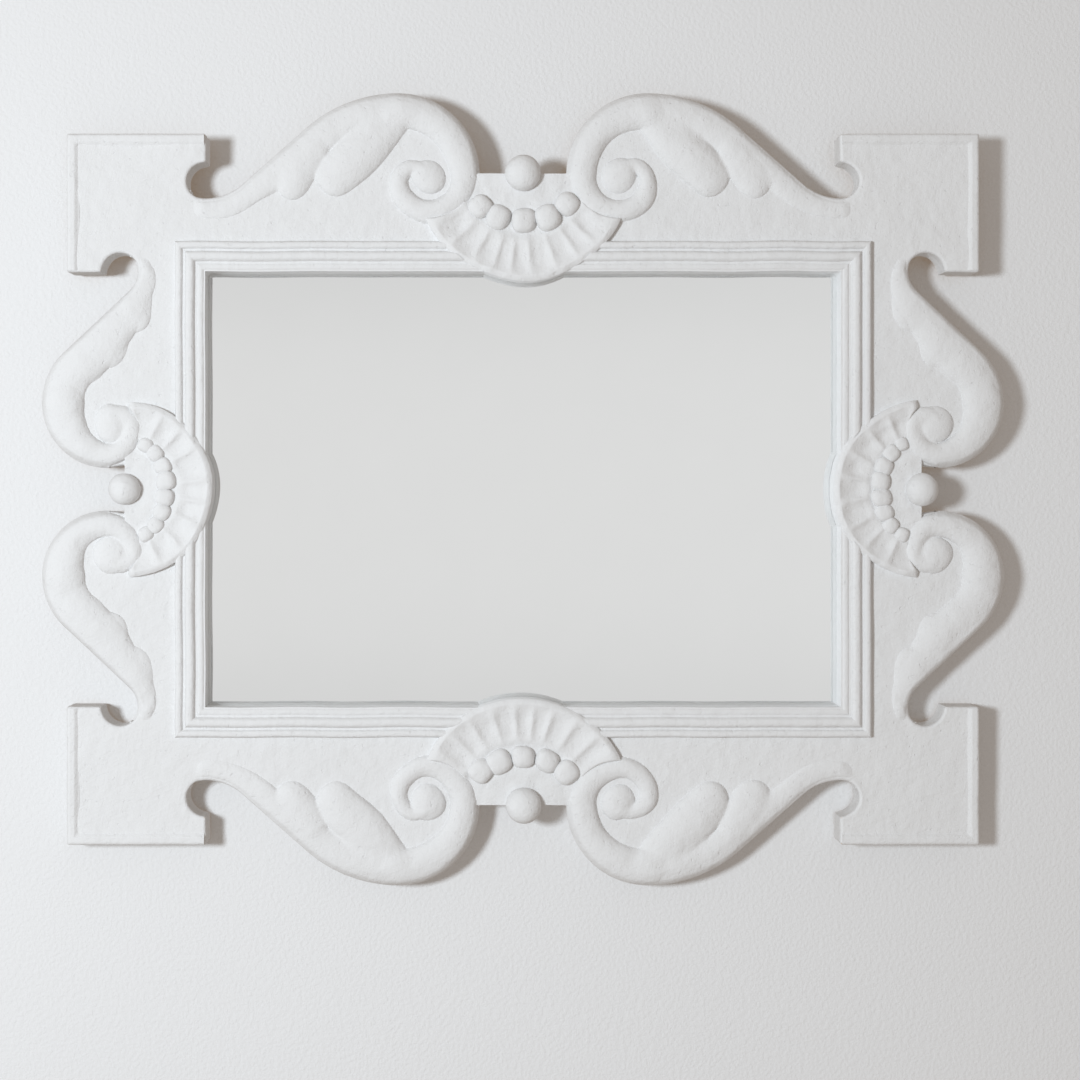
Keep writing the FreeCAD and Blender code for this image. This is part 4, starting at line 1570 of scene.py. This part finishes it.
@dataclass(frozen=True)
class Timber(Finish):
    """Bare softwood, with growth rings that run along each board."""

    along_x: bool = True

    def paint(self, shader: Shader) -> tuple[Wire, Wire | float, Wire]:
        """Rings are a sine of the distance across the board, bent by noise that is stretched along it.

        Args:
            shader: where the nodes go.

        Returns:
            The colour, the roughness and the normal.
        """
        order = 1 if self.along_x else -1
        fibre = shader.noise(shader.place((24, 480, 480)[::order]), detail=5, rough=0.6)
        bend = shader.noise(shader.place((0.75, 15, 15)[::order]), detail=3)
        rings = shader.node("ShaderNodeTexWave", {"bands_direction": "Z" if self.along_x else "X"},
                            {"Vector": shader.place((0.4, 1, 1)[::order]), "Scale": 9.0, "Distortion": 11.0,
                             "Detail": 4.0, "Detail Scale": 0.8}, 1)
        tone = shader.mix(rings * rings * 0.5 + fibre * 0.55 + bend * 0.3 - 0.2, self.base, self.dark)
        return tone, self.rough + 0.1 * fibre, shader.bump([(fibre, 0.3 * MM), (rings, 0.15 * MM)])


@dataclass(frozen=True)
class Hardboard(Finish):
    """Pressed brown board with short fibres and a faint mesh on its back."""

    def paint(self, shader: Shader) -> tuple[Wire, Wire | float, Wire]:
        """The mesh is two crossed waves, the fibres fine noise.

        Args:
            shader: where the nodes go.

        Returns:
            The colour, the roughness and the normal.
        """
        plain = shader.place()
        fibre = shader.noise(plain, scale=380, detail=6, rough=0.7)
        stain = shader.noise(plain, scale=5)
        inputs = {"Vector": plain, "Scale": 150.0}
        weave = [shader.node("ShaderNodeTexWave", {"bands_direction": way}, inputs, 1) for way in ("X", "Z")]
        mesh = weave[0] * weave[1]
        tone = shader.mix(fibre * 0.6 + stain * 0.3 + mesh * 0.2, self.dark, self.base)
        return tone, self.rough, shader.bump([(mesh, 0.2 * MM), (fibre, 0.12 * MM)])


@dataclass(frozen=True)
class Steel(Finish):
    """Zinc-plated steel with fine scratches and dull patches."""

    def paint(self, shader: Shader) -> tuple[Wire, Wire | float, Wire]:
        """Scratches are noise stretched across the piece, patches a slower noise.

        Args:
            shader: where the nodes go.

        Returns:
            The colour, the roughness and the normal.
        """
        scratch = shader.noise(shader.place((900, 900, 90)), rough=0.6)
        patch = shader.noise(shader.place(), scale=130)
        tone = shader.mix(patch * 0.7 + scratch * 0.3, self.dark, self.base)
        return tone, self.rough + 0.22 * patch, shader.bump([(scratch, 0.03 * MM)])


@dataclass(frozen=True)
class Silvering(Finish):
    """Silvered glass, almost clear of marks."""

    def paint(self, shader: Shader) -> tuple[Wire, Wire | float, Wire]:
        """A slow wave in the glass, and a slight cloudy haze.

        Args:
            shader: where the nodes go.

        Returns:
            The colour, the roughness and the normal.
        """
        plain = shader.place()
        haze = shader.noise(plain, scale=14)
        wave = shader.noise(plain, scale=2.2, detail=1)
        tone = shader.mix(haze, self.dark, self.base)
        return tone, self.rough + 0.012 * haze, shader.bump([(wave, 0.12 * MM)])


@dataclass(frozen=True)
class WallPaint(Finish):
    """Roller-painted wall with a pebbly grain."""

    def paint(self, shader: Shader) -> tuple[Wire, Wire | float, Wire]:
        """Two sizes of rounded noise for the roller's grain, and a slow one for the tone.

        Args:
            shader: where the nodes go.

        Returns:
            The colour, the roughness and the normal.
        """
        plain = shader.place()
        pebble = shader.noise(plain, scale=210, detail=2)
        fine = shader.noise(plain, scale=520, detail=2)
        slow = shader.noise(plain, scale=2.5, detail=3)
        tone = shader.mix(slow * 0.6 + pebble * 0.4, self.dark, self.base)
        return tone, self.rough, shader.bump([(pebble.between(0.25, 0.75), 0.4 * MM), (fine, 0.15 * MM)])


PINE = ((0.66, 0.49, 0.31, 1), (0.40, 0.25, 0.12, 1), 0.6)
GESSO = Plaster("plaster", (0.785, 0.785, 0.785, 1), (0.725, 0.725, 0.72, 1), 0.8)
WALL = WallPaint("wall_paint", (0.80, 0.80, 0.80, 1), (0.77, 0.77, 0.77, 1), 0.85, one_sided=True)
SOLID_FINISHES = (
    Timber("ground_timber_x", *PINE),
    Timber("ground_timber_z", *PINE, along_x=False),
    Silvering("silvered_glass", (0.88, 0.885, 0.88, 1), (0.86, 0.865, 0.86, 1), 0.012, 1.0),
    Hardboard("backing", (0.42, 0.29, 0.17, 1), (0.24, 0.15, 0.08, 1), 0.7),
    Steel("screw_steel", (0.60, 0.58, 0.53, 1), (0.42, 0.41, 0.39, 1), 0.3, 1.0),
    Steel("hanger_steel", (0.62, 0.62, 0.60, 1), (0.44, 0.44, 0.43, 1), 0.28, 1.0),
)


@dataclass
class Stage:
    """The wall behind the mirror, the camera and the light."""

    wall_foot: float = 1.0 * MM
    wall_lean: float = math.radians(1.2)
    wall_half: float = 2.5
    lens: float = 65.47
    sensor: float = 36.0
    shift: tuple[float, float] = (0.0685, -0.046)
    eye: tuple[float, float, float] = (-0.0726, -2.54, -0.0013)
    lamp: tuple[float, float, float] = (-1.75, -3.0, 0.15)
    lamp_size: float = 0.55
    lamp_power: float = 86.0
    lamp_colour: tuple[float, float, float] = (0.85, 0.93, 1.0)
    fill_light: Colour = (0.41, 0.368, 0.335, 1)
    backdrop: tuple[Colour, Colour] = ((0.735, 0.735, 0.735, 1), (0.815, 0.815, 0.815, 1))
    backdrop_falloff: float = 60.0

    def wall(self) -> None:
        """A large sheet that leans away from the frame's top, seen only from its front."""
        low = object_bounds()[0].z
        span = np.array([(-1, -1), (1, -1), (1, 1), (-1, 1)]) * self.wall_half
        gap = self.wall_foot + (span[:, 1] - low) * math.tan(self.wall_lean)
        mesh = bpy.data.meshes.new("wall")
        mesh.from_pydata(np.stack((span[:, 0], gap, span[:, 1]), 1).tolist(), [], [(0, 1, 2, 3)])
        mesh.materials.append(WALL.build())
        made = put("wall", mesh)
        made.visible_diffuse = False
        made.visible_glossy = False
        made.visible_shadow = False
        made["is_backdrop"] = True

    def camera(self) -> None:
        """A long lens square to the mirror, shifted to place it in the picture."""
        data = bpy.data.cameras.new("camera")
        data.lens = self.lens
        data.sensor_width = self.sensor
        data.shift_x, data.shift_y = self.shift
        made = put("camera", data)
        made.location = self.eye
        made.rotation_euler = (QUARTER, 0, 0)
        bpy.context.scene.camera = made

    def lights(self) -> None:
        """A soft window of light from the left, level with the mirror and turned to its centre."""
        data = bpy.data.lights.new("key", "AREA")
        data.shape = "DISK"
        data.size = self.lamp_size
        data.energy = self.lamp_power
        data.color = self.lamp_colour
        made = put("key", data)
        made.location = self.lamp
        made.rotation_euler = (-Vector(self.lamp)).to_track_quat("-Z", "Y").to_euler()
        made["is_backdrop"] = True

    def world(self) -> None:
        """Even light for surfaces, and a plain grey, paler in the middle, for reflections and backdrop."""
        world = bpy.data.worlds.new("room")
        bpy.context.scene.world = world
        world.use_nodes = True
        shader = Shader(world.node_tree)
        spot = shader.node("ShaderNodeTexCoord", {}, {}, "Generated")
        up = shader.node("ShaderNodeSeparateXYZ", {}, {"Vector": spot}, 2)
        level = 1 - (up * up) * self.backdrop_falloff
        seen = shader.mix(level.between(0.0, 1.0), *self.backdrop)
        path = [shader.node("ShaderNodeLightPath", {}, {}, way)
                for way in ("Is Camera Ray", "Is Glossy Ray", "Is Transmission Ray")]
        direct = path[0].greatest(path[1]).greatest(path[2])
        colour = shader.mix(direct, self.fill_light, seen)
        surface = shader.node("ShaderNodeBackground", {}, {"Color": colour, "Strength": 1.0})
        shader.node("ShaderNodeOutputWorld", {}, {"Surface": surface})

    def build(self) -> None:
        """Put up the wall, the camera and the light."""
        self.wall()
        self.camera()
        self.lights()
        self.world()
        bpy.context.scene.view_settings.view_transform = "Standard"


def dress_solids() -> dict[str, bpy.types.Material]:
    """Give the solids that stay in view their finishes.

    Returns:
        The materials by name.
    """
    made = {finish.slot: finish.build() for finish in SOLID_FINISHES}
    slots = {part["node"]: part["material_slot"] for part in frame["record"]["subparts"]}
    for node, solid in frame["nodes"].items():
        slot = slots[node]
        if slot == GESSO.slot:
            continue
        if slot == "ground_timber":
            slot += "_x" if node in ("top_board", "bottom_board") else "_z"
        solid.data.materials.clear()
        solid.data.materials.append(made[slot])
    return made


def dress(piece: bpy.types.Object, material: bpy.types.Material, slot: str) -> None:
    """Give a new piece its material and fix it to the frame.

    Args:
        piece: the piece.
        material: its material.
        slot: its material slot in the record; not used.
    """
    piece.data.materials.append(material)
    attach(piece, "root")
    LOG.info("%s: %d faces", piece.name, len(piece.data.polygons))


def main() -> None:
    """Build, dress, light and measure the scene."""
    logging.basicConfig(level=logging.INFO, format="%(message)s")
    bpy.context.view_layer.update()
    long_side, short_side = read_bays()
    bays = {Side.TOP: long_side, Side.RIGHT: short_side, Side.BOTTOM: long_side, Side.LEFT: short_side}
    pieces = [GessoSkin(bays, SKIN_SEED).build()]
    for count, (side, bay) in enumerate(bays.items()):
        own = SEED_STEP * count
        for hand in (1, -1):
            pieces.append(Scroll(bay, side, hand, SCROLL_SEED + own + hand).build())
            pieces.append(Moulding(bay, side, hand, MOULDING_SEED + own + hand).build())
        pieces += Shell(bay, side, SHELL_SEED + own).build()
    for count, (across, up) in enumerate(((1, 1), (-1, 1), (1, -1), (-1, -1))):
        pieces.append(CornerBorder(long_side, across, up, BORDER_SEED + count).build())
    white = GESSO.build()
    for piece in pieces:
        dress(piece, white, GESSO.slot)
    finishes = dress_solids()
    for group in screw_groups():
        dress(group.build(), finishes["screw_steel"], "screw_steel")
    Stage().build()


if __name__ == "__main__":
    main()
